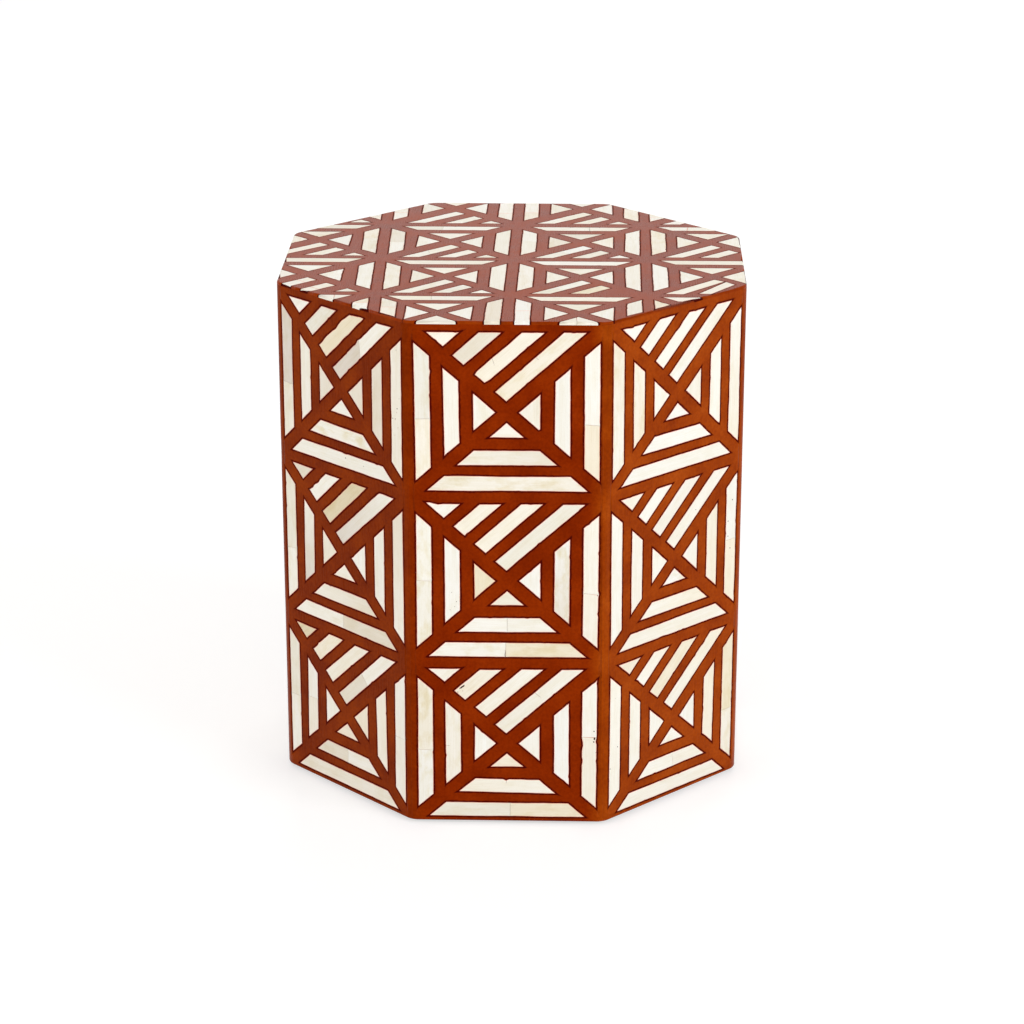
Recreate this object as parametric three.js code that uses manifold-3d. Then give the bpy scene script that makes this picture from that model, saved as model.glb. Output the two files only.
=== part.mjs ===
import * as THREE from "three";
import { mergeVertices } from "three/addons/utils/BufferGeometryUtils.js";
import Module from "manifold-3d";

// An eight-sided inlaid stool. A glued box of eight mitred panels stands between a base board and a top board.
// Every face carries strips of bone on a thin glue bed, and coloured resin is poured between the strips and sanded flush.
// Units are millimetres, +Z is up, the origin is on the floor under the middle of the stool, and -Y is the front.

const wasm = await Module();
wasm.setup();

// Outside sizes
const SIDE_COUNT = 8;
const acrossFlats = 400;
const seatHeight = 450;
const edgeRoundRadius = 14;
const seatRimRound = 1.6;

// Clearances
const fitGap = 0.3;
const cutOverrun = 2;

// Skin on the box: resin outside, a glue bed behind it, bone through both
const resinThickness = 2.6;
const bedThickness = 0.8;
const bedSetback = 1;

// Boards of the box
const panelThickness = 12;
const topBoardThickness = 18;
const formerThickness = 12;
const baseBoardThickness = 12;
const cornerBlockLeg = 30;

// Glides and their nails
const glideHeight = 3;
const glideRadius = 9;
const glideRoundDrop = 0.8;
const glideFootRadius = 7.8;
const glideCornerInset = 18;
const nailHeadRadius = 2.8;
const nailHeadThickness = 0.8;
const nailHeadRecess = 0.8;
const nailShankRadius = 1.1;
const nailLength = 12;

// Screws that hold the top board down on its former
const SCREW_COUNT = 4;
const screwCircleRadius = 110;
const screwHeadRadius = 4;
const screwHeadDepth = 2.6;
const screwShankRadius = 1.9;
const screwLength = 25;
const screwPointLength = 4;

// Inlay on a side: three tiles, one above another
const TILE_ROWS = 3;
const sideEdgeMargin = 6.5;
const sideTopMargin = 9.3;
const sideBottomMargin = 4.7;
const sideTileGap = 11.4;
const SIDE_STRIPES = 3;
const sideBarWidth = 12.8;
const sideRingAcrossShares = [0, 0.315, 0.636];
const sideRingDownShares = [0, 0.327, 0.686];
const sideBandHalfWidth = 6.5;
const sideFirstStripe = 7.5;
const sideStripeWidth = 12.3;
const sideStripePitch = 23.2;

// Inlay on the seat: a square grid of smaller tiles, cut off by the eight edges
const SEAT_GRID = 4;
const SEAT_STRIPES = 2;
const seatTilePitch = 117.4;
const seatTileGap = 11.2;
const seatBarWidth = 12.8;
const seatRingShares = [0, 0.458];
const seatBandHalfWidth = 6.4;
const seatFirstStripe = 8.7;
const seatStripeWidth = 11.4;
const seatStripePitch = 23.2;
const smallestBoneSide = 5;

// Corners closer together than this are one corner
const mergeTolerance = 0.0001;

// Smoothness of round shapes
const EDGE_ARC_STEPS = 3;
const RIM_STEPS = 1;
const TURNED_STEPS = 12;
const SHANK_STEPS = 8;

// Places that follow from the sizes above
const halfStep = Math.PI / SIDE_COUNT;
const fullStep = 2 * halfStep;
const faceOut = acrossFlats / 2;
const resinBack = faceOut - resinThickness;
const bedFront = resinBack - fitGap;
const bedBack = bedFront - bedThickness;
const panelFront = bedBack - fitGap;
const panelBack = panelFront - panelThickness;
const boardHalf = panelBack - fitGap;
const shellBottom = glideHeight;
const seatResinBottom = seatHeight - resinThickness;
const seatBedTop = seatResinBottom - fitGap;
const seatBedBottom = seatBedTop - bedThickness;
const topBoardTop = seatBedBottom - fitGap;
const topBoardBottom = topBoardTop - topBoardThickness;
const formerTop = topBoardBottom - fitGap;
const formerBottom = formerTop - formerThickness;
const baseBoardTop = shellBottom + baseBoardThickness;
const mitreHalfGap = fitGap / 2;
const glideRingRadius = boardHalf / Math.cos(halfStep) - glideCornerInset;
const glideNailHole = nailShankRadius + fitGap;
const glideTop = glideHeight - fitGap;
const nailTip = nailHeadRecess + nailLength;

// Geometry to solid and back

function solidOf(geometry) {
  const bare = geometry.index ? geometry.toNonIndexed() : geometry.clone();
  bare.deleteAttribute("normal");
  bare.deleteAttribute("uv");
  const merged = mergeVertices(bare, mergeTolerance);
  return new wasm.Manifold(
    new wasm.Mesh({
      numProp: 3,
      vertProperties: new Float32Array(merged.attributes.position.array),
      triVerts: new Uint32Array(merged.index.array),
    }),
  );
}

function geometryOf(solid) {
  const mesh = solid.getMesh();
  const points = new Float32Array(mesh.numVert * 3);
  for (let i = 0; i < mesh.numVert; i++) {
    const start = i * mesh.numProp;
    points.set(mesh.vertProperties.subarray(start, start + 3), i * 3);
  }
  const geometry = new THREE.BufferGeometry();
  geometry.setAttribute("position", new THREE.BufferAttribute(points, 3));
  geometry.setIndex(new THREE.BufferAttribute(new Uint32Array(mesh.triVerts), 1));
  geometry.computeVertexNormals();
  return geometry;
}

function joined(solids) {
  return solids.reduce((whole, one) => whole.add(one));
}

// Outlines drawn as the space inside a few straight lines: a line is [nx, ny, reach], and keeps nx * x + ny * y <= reach

function insideLines(lines, inset = 0) {
  const far = acrossFlats + seatHeight;
  let outline = [
    [-far, -far],
    [far, -far],
    [far, far],
    [-far, far],
  ];
  for (const [nx, ny, reach] of lines) {
    const over = outline.map(([x, y]) => nx * x + ny * y - (reach - inset));
    const kept = [];
    outline.forEach((point, i) => {
      const j = (i + 1) % outline.length;
      const next = outline[j];
      if (over[i] <= 0) kept.push(point);
      if (over[i] < 0 !== over[j] < 0 && over[i] !== over[j]) {
        const t = over[i] / (over[i] - over[j]);
        kept.push([point[0] + t * (next[0] - point[0]), point[1] + t * (next[1] - point[1])]);
      }
    });
    outline = kept;
  }
  return outline;
}

function areaOf(outline) {
  return outline.reduce((sum, [x, y], i) => {
    const [nextX, nextY] = outline[(i + 1) % outline.length];
    return sum + (x * nextY - nextX * y) / 2;
  }, 0);
}

function shapeOf(outline) {
  return new THREE.Shape(outline.map(([x, y]) => new THREE.Vector2(x, y)));
}

// A plate whose outline lies flat, from one height to another
function plate(outline, bottom, top) {
  const geometry = new THREE.ExtrudeGeometry(shapeOf(outline), { depth: top - bottom, bevelEnabled: false });
  return solidOf(geometry.translate(0, 0, bottom));
}

// A block whose outline is drawn on the front face, from one distance off the stool's axis to another
function block(outline, from, to) {
  const geometry = new THREE.ExtrudeGeometry(shapeOf(outline), { depth: to - from, bevelEnabled: false });
  return solidOf(geometry.rotateX(Math.PI / 2).translate(0, -from, 0));
}

function octagonLines(half) {
  return Array.from({ length: SIDE_COUNT }, (_, i) => [Math.sin(i * fullStep), -Math.cos(i * fullStep), half]);
}

// The octagon over the finished faces, with its corners rounded
function roundedOctagon() {
  const outline = [];
  const centre = (faceOut - edgeRoundRadius) / Math.cos(halfStep);
  for (let i = 0; i < SIDE_COUNT; i++) {
    const corner = i * fullStep + halfStep;
    for (let j = 0; j <= 2 * EDGE_ARC_STEPS; j++) {
      const turn = corner - halfStep + (j * halfStep) / EDGE_ARC_STEPS;
      outline.push([
        centre * Math.sin(corner) + edgeRoundRadius * Math.sin(turn),
        -centre * Math.cos(corner) - edgeRoundRadius * Math.cos(turn),
      ]);
    }
  }
  return outline;
}

// A turned piece: its profile runs up from the axis to the axis, or round a hole and back to its start
function turned(profile, steps) {
  const geometry = new THREE.LatheGeometry(
    profile.map(([r, z]) => new THREE.Vector2(r, z)),
    steps,
  );
  return solidOf(geometry.rotateX(Math.PI / 2));
}

// Inlay tile

// One tile is cut by its two diagonals into four fields. Three fields hold bars in rings round a small triangle,
// and the fourth holds slanting stripes and a corner triangle. Each piece of bone is a list of lines round it.
function tilePieces(plan) {
  const { width, height, barWidth, ringAcrossShares, ringDownShares, bandHalfWidth } = plan;
  const { stripes, firstStripe, stripeWidth, stripePitch } = plan;
  const diagonal = Math.hypot(width, height);
  const across = height / diagonal;
  const down = width / diagonal;
  const leftOfFalling = [across, down, -bandHalfWidth];
  const rightOfFalling = [-across, -down, -bandHalfWidth];
  const leftOfRising = [across, -down, -bandHalfWidth];
  const rightOfRising = [-across, down, -bandHalfWidth];
  const ringFields = [
    { fieldLines: [leftOfFalling, leftOfRising], out: [-1, 0], edge: width / 2, shares: ringAcrossShares },
    { fieldLines: [rightOfFalling, rightOfRising], out: [1, 0], edge: width / 2, shares: ringAcrossShares },
    { fieldLines: [leftOfFalling, rightOfRising], out: [0, -1], edge: height / 2, shares: ringDownShares },
  ];
  const pieces = [];
  for (const { fieldLines, out, edge, shares } of ringFields) {
    shares.forEach((share, ring) => {
      const outer = edge * (1 - share);
      const lines = [...fieldLines, [out[0], out[1], outer]];
      if (ring + 1 < shares.length) lines.push([-out[0], -out[1], barWidth - outer]);
      pieces.push(lines);
    });
  }
  const stripeField = [rightOfFalling, [0, 1, height / 2]];
  for (let stripe = 0; stripe <= stripes; stripe++) {
    const near = firstStripe + stripe * stripePitch;
    const lines = [...stripeField, [across, -down, -near]];
    if (stripe < stripes) lines.push([-across, down, near + stripeWidth]);
    pieces.push(lines);
  }
  return pieces;
}

// The front row of the seat has a plain wedge where the other rows have stripes
function wedgeTilePieces(plan) {
  const ringed = tilePieces({ ...plan, stripes: 0 }).slice(0, -1);
  const diagonal = Math.hypot(plan.width, plan.height);
  const across = plan.height / diagonal;
  const down = plan.width / diagonal;
  const field = [
    [-across, -down, -plan.bandHalfWidth],
    [across, -down, -plan.bandHalfWidth],
    [0, 1, plan.height / 2],
  ];
  return [...ringed, field];
}

function moved(lines, x, y) {
  return lines.map(([nx, ny, reach]) => [nx, ny, reach + nx * x + ny * y]);
}

function turnedHalfRound(lines) {
  return lines.map(([nx, ny, reach]) => [-nx, -ny, reach]);
}

const faceWidth = acrossFlats * Math.tan(halfStep);
const sideInlayHeight = seatHeight - shellBottom - sideTopMargin - sideBottomMargin;
const sideTilePitch = (sideInlayHeight + sideTileGap) / TILE_ROWS;
const sideTile = {
  width: faceWidth - 2 * sideEdgeMargin,
  height: sideTilePitch - sideTileGap,
  barWidth: sideBarWidth,
  ringAcrossShares: sideRingAcrossShares,
  ringDownShares: sideRingDownShares,
  bandHalfWidth: sideBandHalfWidth,
  stripes: SIDE_STRIPES,
  firstStripe: sideFirstStripe,
  stripeWidth: sideStripeWidth,
  stripePitch: sideStripePitch,
};
const seatTile = {
  width: seatTilePitch - seatTileGap,
  height: seatTilePitch - seatTileGap,
  barWidth: seatBarWidth,
  ringAcrossShares: seatRingShares,
  ringDownShares: seatRingShares,
  bandHalfWidth: seatBandHalfWidth,
  stripes: SEAT_STRIPES,
  firstStripe: seatFirstStripe,
  stripeWidth: seatStripeWidth,
  stripePitch: seatStripePitch,
};

function sidePieces() {
  const pieces = [];
  for (let row = 0; row < TILE_ROWS; row++) {
    const middle = shellBottom + sideBottomMargin + sideTile.height / 2 + row * sideTilePitch;
    for (const lines of tilePieces(sideTile)) pieces.push(moved(lines, 0, middle));
  }
  return pieces;
}

function seatPieces() {
  const pieces = [];
  const bedLines = octagonLines(bedFront);
  for (let column = 0; column < SEAT_GRID; column++) {
    for (let row = 0; row < SEAT_GRID; row++) {
      const x = (column - (SEAT_GRID - 1) / 2) * seatTilePitch;
      const y = (row - (SEAT_GRID - 1) / 2) * seatTilePitch;
      const tile = row === 0 ? wedgeTilePieces(seatTile) : tilePieces(seatTile);
      for (const lines of tile) {
        const placed = moved(turnedHalfRound(lines), x, y);
        const onBed = insideLines([...placed, ...bedLines], fitGap);
        if (onBed.length > 2 && areaOf(onBed) > smallestBoneSide * smallestBoneSide) pieces.push(placed);
      }
    }
  }
  return pieces;
}

// Skin of a side

function sideResinBlank() {
  const arcMiddle = faceOut - edgeRoundRadius;
  const arcMiddleAcross = arcMiddle * Math.tan(halfStep);
  const arcEnd = halfStep - Math.asin(mitreHalfGap / edgeRoundRadius);
  const right = [[resinBack * Math.tan(halfStep) - mitreHalfGap / Math.cos(halfStep), -resinBack]];
  for (let i = EDGE_ARC_STEPS; i >= 0; i--) {
    const turn = (arcEnd * i) / EDGE_ARC_STEPS;
    right.push([
      arcMiddleAcross + edgeRoundRadius * Math.sin(turn),
      -arcMiddle - edgeRoundRadius * Math.cos(turn),
    ]);
  }
  const left = right.map(([x, y]) => [-x, y]).reverse();
  return plate([...left, ...right].reverse(), shellBottom, seatBedTop);
}

function sideResin(pieces) {
  const pockets = pieces.map((lines) => block(insideLines(lines), resinBack - cutOverrun, faceOut + cutOverrun));
  return sideResinBlank().subtract(joined(pockets));
}

function sideBone(pieces) {
  const halfWidth = bedBack * Math.tan(halfStep) - mitreHalfGap / Math.cos(halfStep);
  const bedLines = [
    [-1, 0, halfWidth],
    [1, 0, halfWidth],
    [0, -1, -(shellBottom + bedSetback)],
    [0, 1, topBoardTop],
  ];
  const bed = block(insideLines(bedLines), bedBack, bedFront);
  const bones = pieces.map((lines) => block(insideLines(lines, fitGap), bedBack + bedThickness / 2, faceOut));
  return bed.add(joined(bones));
}

function sidePanel() {
  const outerHalf = panelFront * Math.tan(halfStep) - mitreHalfGap / Math.cos(halfStep);
  const innerHalf = panelBack * Math.tan(halfStep) - mitreHalfGap / Math.cos(halfStep);
  const outline = [
    [-outerHalf, -panelFront],
    [outerHalf, -panelFront],
    [innerHalf, -panelBack],
    [-innerHalf, -panelBack],
  ];
  return plate(outline, shellBottom, topBoardBottom - fitGap);
}

// Skin of the seat

// The finished seat slab, with its rim rounded over and its underside flat
function seatBlank() {
  const depth = resinThickness + cutOverrun;
  const geometry = new THREE.ExtrudeGeometry(shapeOf(roundedOctagon()), {
    depth: depth - seatRimRound,
    bevelEnabled: true,
    bevelThickness: seatRimRound,
    bevelSize: seatRimRound,
    bevelOffset: -seatRimRound,
    bevelSegments: RIM_STEPS,
  });
  const slab = solidOf(geometry.translate(0, 0, seatHeight - depth));
  const wide = insideLines(octagonLines(faceOut + cutOverrun));
  return slab.intersect(plate(wide, seatResinBottom, seatHeight + cutOverrun));
}

function seatResin(pieces) {
  const pockets = pieces.map((lines) =>
    plate(insideLines(lines), seatResinBottom - cutOverrun, seatHeight + cutOverrun),
  );
  return seatBlank().subtract(joined(pockets));
}

function seatBone(pieces) {
  const bedOutline = insideLines(octagonLines(bedFront));
  const bed = plate(bedOutline, seatBedBottom, seatBedTop);
  const middleOfBed = seatBedBottom + bedThickness / 2;
  const room = seatBlank().add(plate(bedOutline, middleOfBed, seatResinBottom + resinThickness / 4));
  const bones = pieces.map((lines) => plate(insideLines(lines, fitGap), middleOfBed, seatHeight + cutOverrun));
  return bed.add(joined(bones).intersect(room));
}

// Boards and blocks of the box

function topBoard() {
  const board = plate(insideLines(octagonLines(panelFront)), topBoardBottom, topBoardTop);
  return board.subtract(joined(screwPlaces().map(screwHole)));
}

function upperFormer() {
  const board = plate(insideLines(octagonLines(boardHalf)), formerBottom, formerTop);
  return board.subtract(joined(screwPlaces().map(screwHole)));
}

function baseBoard() {
  const board = plate(insideLines(octagonLines(boardHalf)), shellBottom, baseBoardTop);
  const drill = new THREE.CylinderGeometry(glideNailHole, glideNailHole, 2 * nailLength, SHANK_STEPS);
  const hole = solidOf(drill.rotateX(Math.PI / 2).translate(0, 0, nailTip + fitGap - nailLength));
  return board.subtract(joined(glidePlaces().map(([x, y]) => hole.translate([x, y, 0]))));
}

// A three-cornered glue block in the angle between two panels; its own angle points to -Y
function cornerBlock() {
  const reach = panelBack - fitGap;
  const point = reach / Math.cos(halfStep);
  const lines = [
    [Math.sin(halfStep), -Math.cos(halfStep), reach],
    [-Math.sin(halfStep), -Math.cos(halfStep), reach],
    [0, 1, cornerBlockLeg * Math.sin(halfStep) - point],
  ];
  return plate(insideLines(lines), baseBoardTop + fitGap, formerBottom - fitGap);
}

// Glides, nails and screws

function glidePlaces() {
  return Array.from({ length: SIDE_COUNT }, (_, i) => {
    const turn = i * fullStep + halfStep;
    return [glideRingRadius * Math.sin(turn), -glideRingRadius * Math.cos(turn)];
  });
}

function glide() {
  const recessTop = nailHeadRecess + nailHeadThickness + fitGap;
  const profile = [
    [glideNailHole, recessTop],
    [nailHeadRadius + fitGap, recessTop],
    [nailHeadRadius + fitGap, 0],
    [glideFootRadius, 0],
    [glideRadius, glideRoundDrop],
    [glideRadius, glideTop],
    [glideNailHole, glideTop],
    [glideNailHole, recessTop],
  ];
  return turned(profile, TURNED_STEPS);
}

function glideNail() {
  const profile = [
    [0, nailHeadRecess],
    [nailHeadRadius, nailHeadRecess],
    [nailHeadRadius, nailHeadRecess + nailHeadThickness],
    [nailShankRadius, nailHeadRecess + nailHeadThickness],
    [nailShankRadius, nailTip - 2 * nailShankRadius],
    [0, nailTip],
  ];
  return turned(profile, SHANK_STEPS);
}

function screwPlaces() {
  return Array.from({ length: SCREW_COUNT }, (_, i) => {
    const turn = ((i + 1 / 2) * 2 * Math.PI) / SCREW_COUNT;
    return [screwCircleRadius * Math.sin(turn), -screwCircleRadius * Math.cos(turn)];
  });
}

// The screw stands point up, with its countersunk head flush in the underside of the former.
// Its hole is the same shape with room all round.
function screwSolid(room) {
  const profile = [
    [0, formerBottom - room],
    [screwHeadRadius + 2 * room, formerBottom - room],
    [screwShankRadius + room, formerBottom + screwHeadDepth],
    [screwShankRadius + room, formerBottom + screwLength - screwPointLength],
    [0, formerBottom + screwLength + room],
  ];
  return turned(profile, SHANK_STEPS);
}

function screwHole([x, y]) {
  return screwSolid(fitGap).translate([x, y, 0]);
}

// Materials

const resinFinish = new THREE.MeshStandardMaterial({ color: 0x8f3208, roughness: 0.3, metalness: 0 });
const boneFinish = new THREE.MeshStandardMaterial({ color: 0xf3eedd, roughness: 0.4, metalness: 0 });
const boardFinish = new THREE.MeshStandardMaterial({ color: 0xa98661, roughness: 0.9, metalness: 0 });
const blockFinish = new THREE.MeshStandardMaterial({ color: 0xc9a06a, roughness: 0.8, metalness: 0 });
const baseFinish = new THREE.MeshStandardMaterial({ color: 0x2a211c, roughness: 0.7, metalness: 0 });
const glideFinish = new THREE.MeshStandardMaterial({ color: 0x3a2a20, roughness: 0.5, metalness: 0 });
const steelFinish = new THREE.MeshStandardMaterial({ color: 0xb8b8b4, roughness: 0.35, metalness: 1 });

// Assembly

const stool = new THREE.Group();

function addPiece(parent, name, geometry, material) {
  const mesh = new THREE.Mesh(geometry, material);
  mesh.name = name;
  parent.add(mesh);
  return mesh;
}

const sideBones = sidePieces();
const sideResinGeometry = geometryOf(sideResin(sideBones));
const sideBoneGeometry = geometryOf(sideBone(sideBones));
const sidePanelGeometry = geometryOf(sidePanel());
const cornerBlockGeometry = geometryOf(cornerBlock());

// Side 1 faces the front, and the others follow it anticlockwise as seen from above
for (let i = 0; i < SIDE_COUNT; i++) {
  const face = new THREE.Group();
  face.rotation.z = i * fullStep;
  addPiece(face, `side_panel_${i + 1}`, sidePanelGeometry, boardFinish);
  addPiece(face, `side_bone_inlay_${i + 1}`, sideBoneGeometry, boneFinish);
  addPiece(face, `side_resin_ground_${i + 1}`, sideResinGeometry, resinFinish);
  stool.add(face);
  const corner = new THREE.Group();
  corner.rotation.z = i * fullStep + halfStep;
  addPiece(corner, `corner_block_${i + 1}`, cornerBlockGeometry, blockFinish);
  stool.add(corner);
}

const seatBones = seatPieces();
addPiece(stool, "seat_resin_ground", geometryOf(seatResin(seatBones)), resinFinish);
addPiece(stool, "seat_bone_inlay", geometryOf(seatBone(seatBones)), boneFinish);
addPiece(stool, "top_board", geometryOf(topBoard()), boardFinish);
addPiece(stool, "top_former", geometryOf(upperFormer()), boardFinish);
addPiece(stool, "base_board", geometryOf(baseBoard()), baseFinish);

const glideGeometry = geometryOf(glide());
const glideNailGeometry = geometryOf(glideNail());
glidePlaces().forEach(([x, y], i) => {
  const foot = new THREE.Group();
  foot.position.set(x, y, 0);
  addPiece(foot, `glide_${i + 1}`, glideGeometry, glideFinish);
  addPiece(foot, `glide_nail_${i + 1}`, glideNailGeometry, steelFinish);
  stool.add(foot);
});

const screwGeometry = geometryOf(screwSolid(0));
screwPlaces().forEach(([x, y], i) => {
  addPiece(stool, `top_screw_${i + 1}`, screwGeometry, steelFinish).position.set(x, y, 0);
});

export default stool;
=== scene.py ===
"""The looks of an eight-sided stool, faced with strips of bone laid in rust-coloured resin.

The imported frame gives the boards, blocks, glides and fasteners, which keep their shapes and get their
finishes here. The skin is modelled anew: each strip of bone is a closed form of its own, cut by hand with
slightly uneven edges, with a dark line of glue round it and resin poured between. Everything is in metres,
+Z is up and -Y is the front.
"""

import logging
import math
import random
from collections.abc import Callable, Iterable, Sequence
from dataclasses import dataclass, field
from enum import Enum
from typing import Any

import bmesh
import bpy
from bmesh.types import BMesh, BMVert
from mathutils import Matrix, Vector, noise


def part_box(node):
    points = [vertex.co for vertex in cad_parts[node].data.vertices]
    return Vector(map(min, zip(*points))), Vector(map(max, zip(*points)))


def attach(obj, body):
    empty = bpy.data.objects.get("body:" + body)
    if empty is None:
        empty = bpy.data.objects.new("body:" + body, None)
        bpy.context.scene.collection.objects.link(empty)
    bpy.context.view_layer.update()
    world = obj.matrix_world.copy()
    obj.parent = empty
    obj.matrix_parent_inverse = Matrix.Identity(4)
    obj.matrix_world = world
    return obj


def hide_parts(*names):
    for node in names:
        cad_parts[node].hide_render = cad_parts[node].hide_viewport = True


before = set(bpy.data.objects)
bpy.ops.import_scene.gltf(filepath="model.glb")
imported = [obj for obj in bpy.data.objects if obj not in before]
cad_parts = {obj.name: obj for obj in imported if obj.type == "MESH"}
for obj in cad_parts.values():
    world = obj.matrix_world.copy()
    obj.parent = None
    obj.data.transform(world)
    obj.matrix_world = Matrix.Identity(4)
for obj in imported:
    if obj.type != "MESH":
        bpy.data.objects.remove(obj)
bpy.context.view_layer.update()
log = logging.getLogger("stool")

MM = 0.001
DEGREE = math.pi / 180
SIDE_COUNT = 8
SIDE_TURN = 2 * math.pi / SIDE_COUNT
HALF_TURN = SIDE_TURN / 2
WELD = 1e-7
NOISE_STEP = 100
Colour = tuple[float, float, float, float]
Range = tuple[float, float]
Triple = tuple[float, float, float]
WARM = (1.0, 0.955, 0.905)


def rgb(red: float, green: float, blue: float) -> Colour:
    """A linear colour with full alpha."""
    return (red, green, blue, 1.0)


class Tone(Enum):
    """Colours that strips of bone come in, as linear red, green and blue."""

    WHITE = (0.905, 0.888, 0.820)
    IVORY = (0.892, 0.852, 0.755)
    CREAM = (0.880, 0.815, 0.680)
    YELLOW = (0.842, 0.765, 0.595)
    GREY = (0.845, 0.812, 0.712)
    DRAB = (0.805, 0.748, 0.640)
    ASH = (0.715, 0.665, 0.600)
    KHAKI = (0.730, 0.640, 0.450)


class Field(Enum):
    """The four fields that a tile's diagonals cut it into, with the direction that each faces."""

    LEFT = (-1, 0)
    RIGHT = (1, 0)
    BOTTOM = (0, -1)
    TOP = (0, 1)


class Carving(Enum):
    """What one solid does to another."""

    CUT = "DIFFERENCE"
    KEEP = "INTERSECT"


@dataclass(frozen=True)
class Nick:
    """A spot where a strip's edge bulges out or falls in.

    place is its share of the strip's length, side is 1 for the upper or left edge and -1 for the other, and
    depth and width are in metres, with depth below 0 for a hollow.
    """

    place: float
    side: int
    depth: float
    width: float = 3 * MM


@dataclass(frozen=True)
class Crack:
    """A hairline that runs into a strip from its edge, at a share of its length, leaning by some degrees."""

    place: float
    side: int
    length: float
    lean: float = 0.0
    width: float = 0.22 * MM


@dataclass(frozen=True)
class Pit:
    """A small dark hole in a strip's face.

    place is its share of the strip's length, and beside runs from -1 at the lower or right edge to 1 at the
    other.
    """

    place: float
    beside: float
    radius: float = 0.3 * MM


@dataclass(frozen=True)
class Mark:
    """What sets one strip of bone apart from the rest.

    Shares and sides are counted upwards in upright strips and to the right in all others. joint is the
    share of the strip's length where two lengths of bone meet, or 0 for a strip in one piece, whose tone
    then drifts from the first to the second. lean is the joint's slant in degrees. ragged, stain and specks
    run from 0 to 1. blunt is how much of the strip's farthest corner was lost, in metres.
    """

    tone: Tone = Tone.WHITE
    second: Tone | None = None
    joint: float = 0.0
    lean: float = 0.0
    ragged: float = 0.2
    stain: float = 0.2
    specks: float = 0.0
    blunt: float = 0.0
    nicks: tuple[Nick, ...] = ()
    cracks: tuple[Crack, ...] = ()
    pits: tuple[Pit, ...] = ()


Spot = tuple[int, Field, int]

# A worm's hole that was laid open when its bone was polished
SQUIGGLE: tuple[Pit, ...] = (
    Pit(0.03, 0.52, 0.35 * MM),
    Pit(0.12, 0.74, 0.55 * MM),
    Pit(0.145, 0.70, 0.75 * MM),
    Pit(0.17, 0.72, 0.7 * MM),
    Pit(0.195, 0.68, 0.75 * MM),
    Pit(0.22, 0.72, 0.45 * MM),
    Pit(0.12, 0.2, 0.25 * MM),
)

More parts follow.
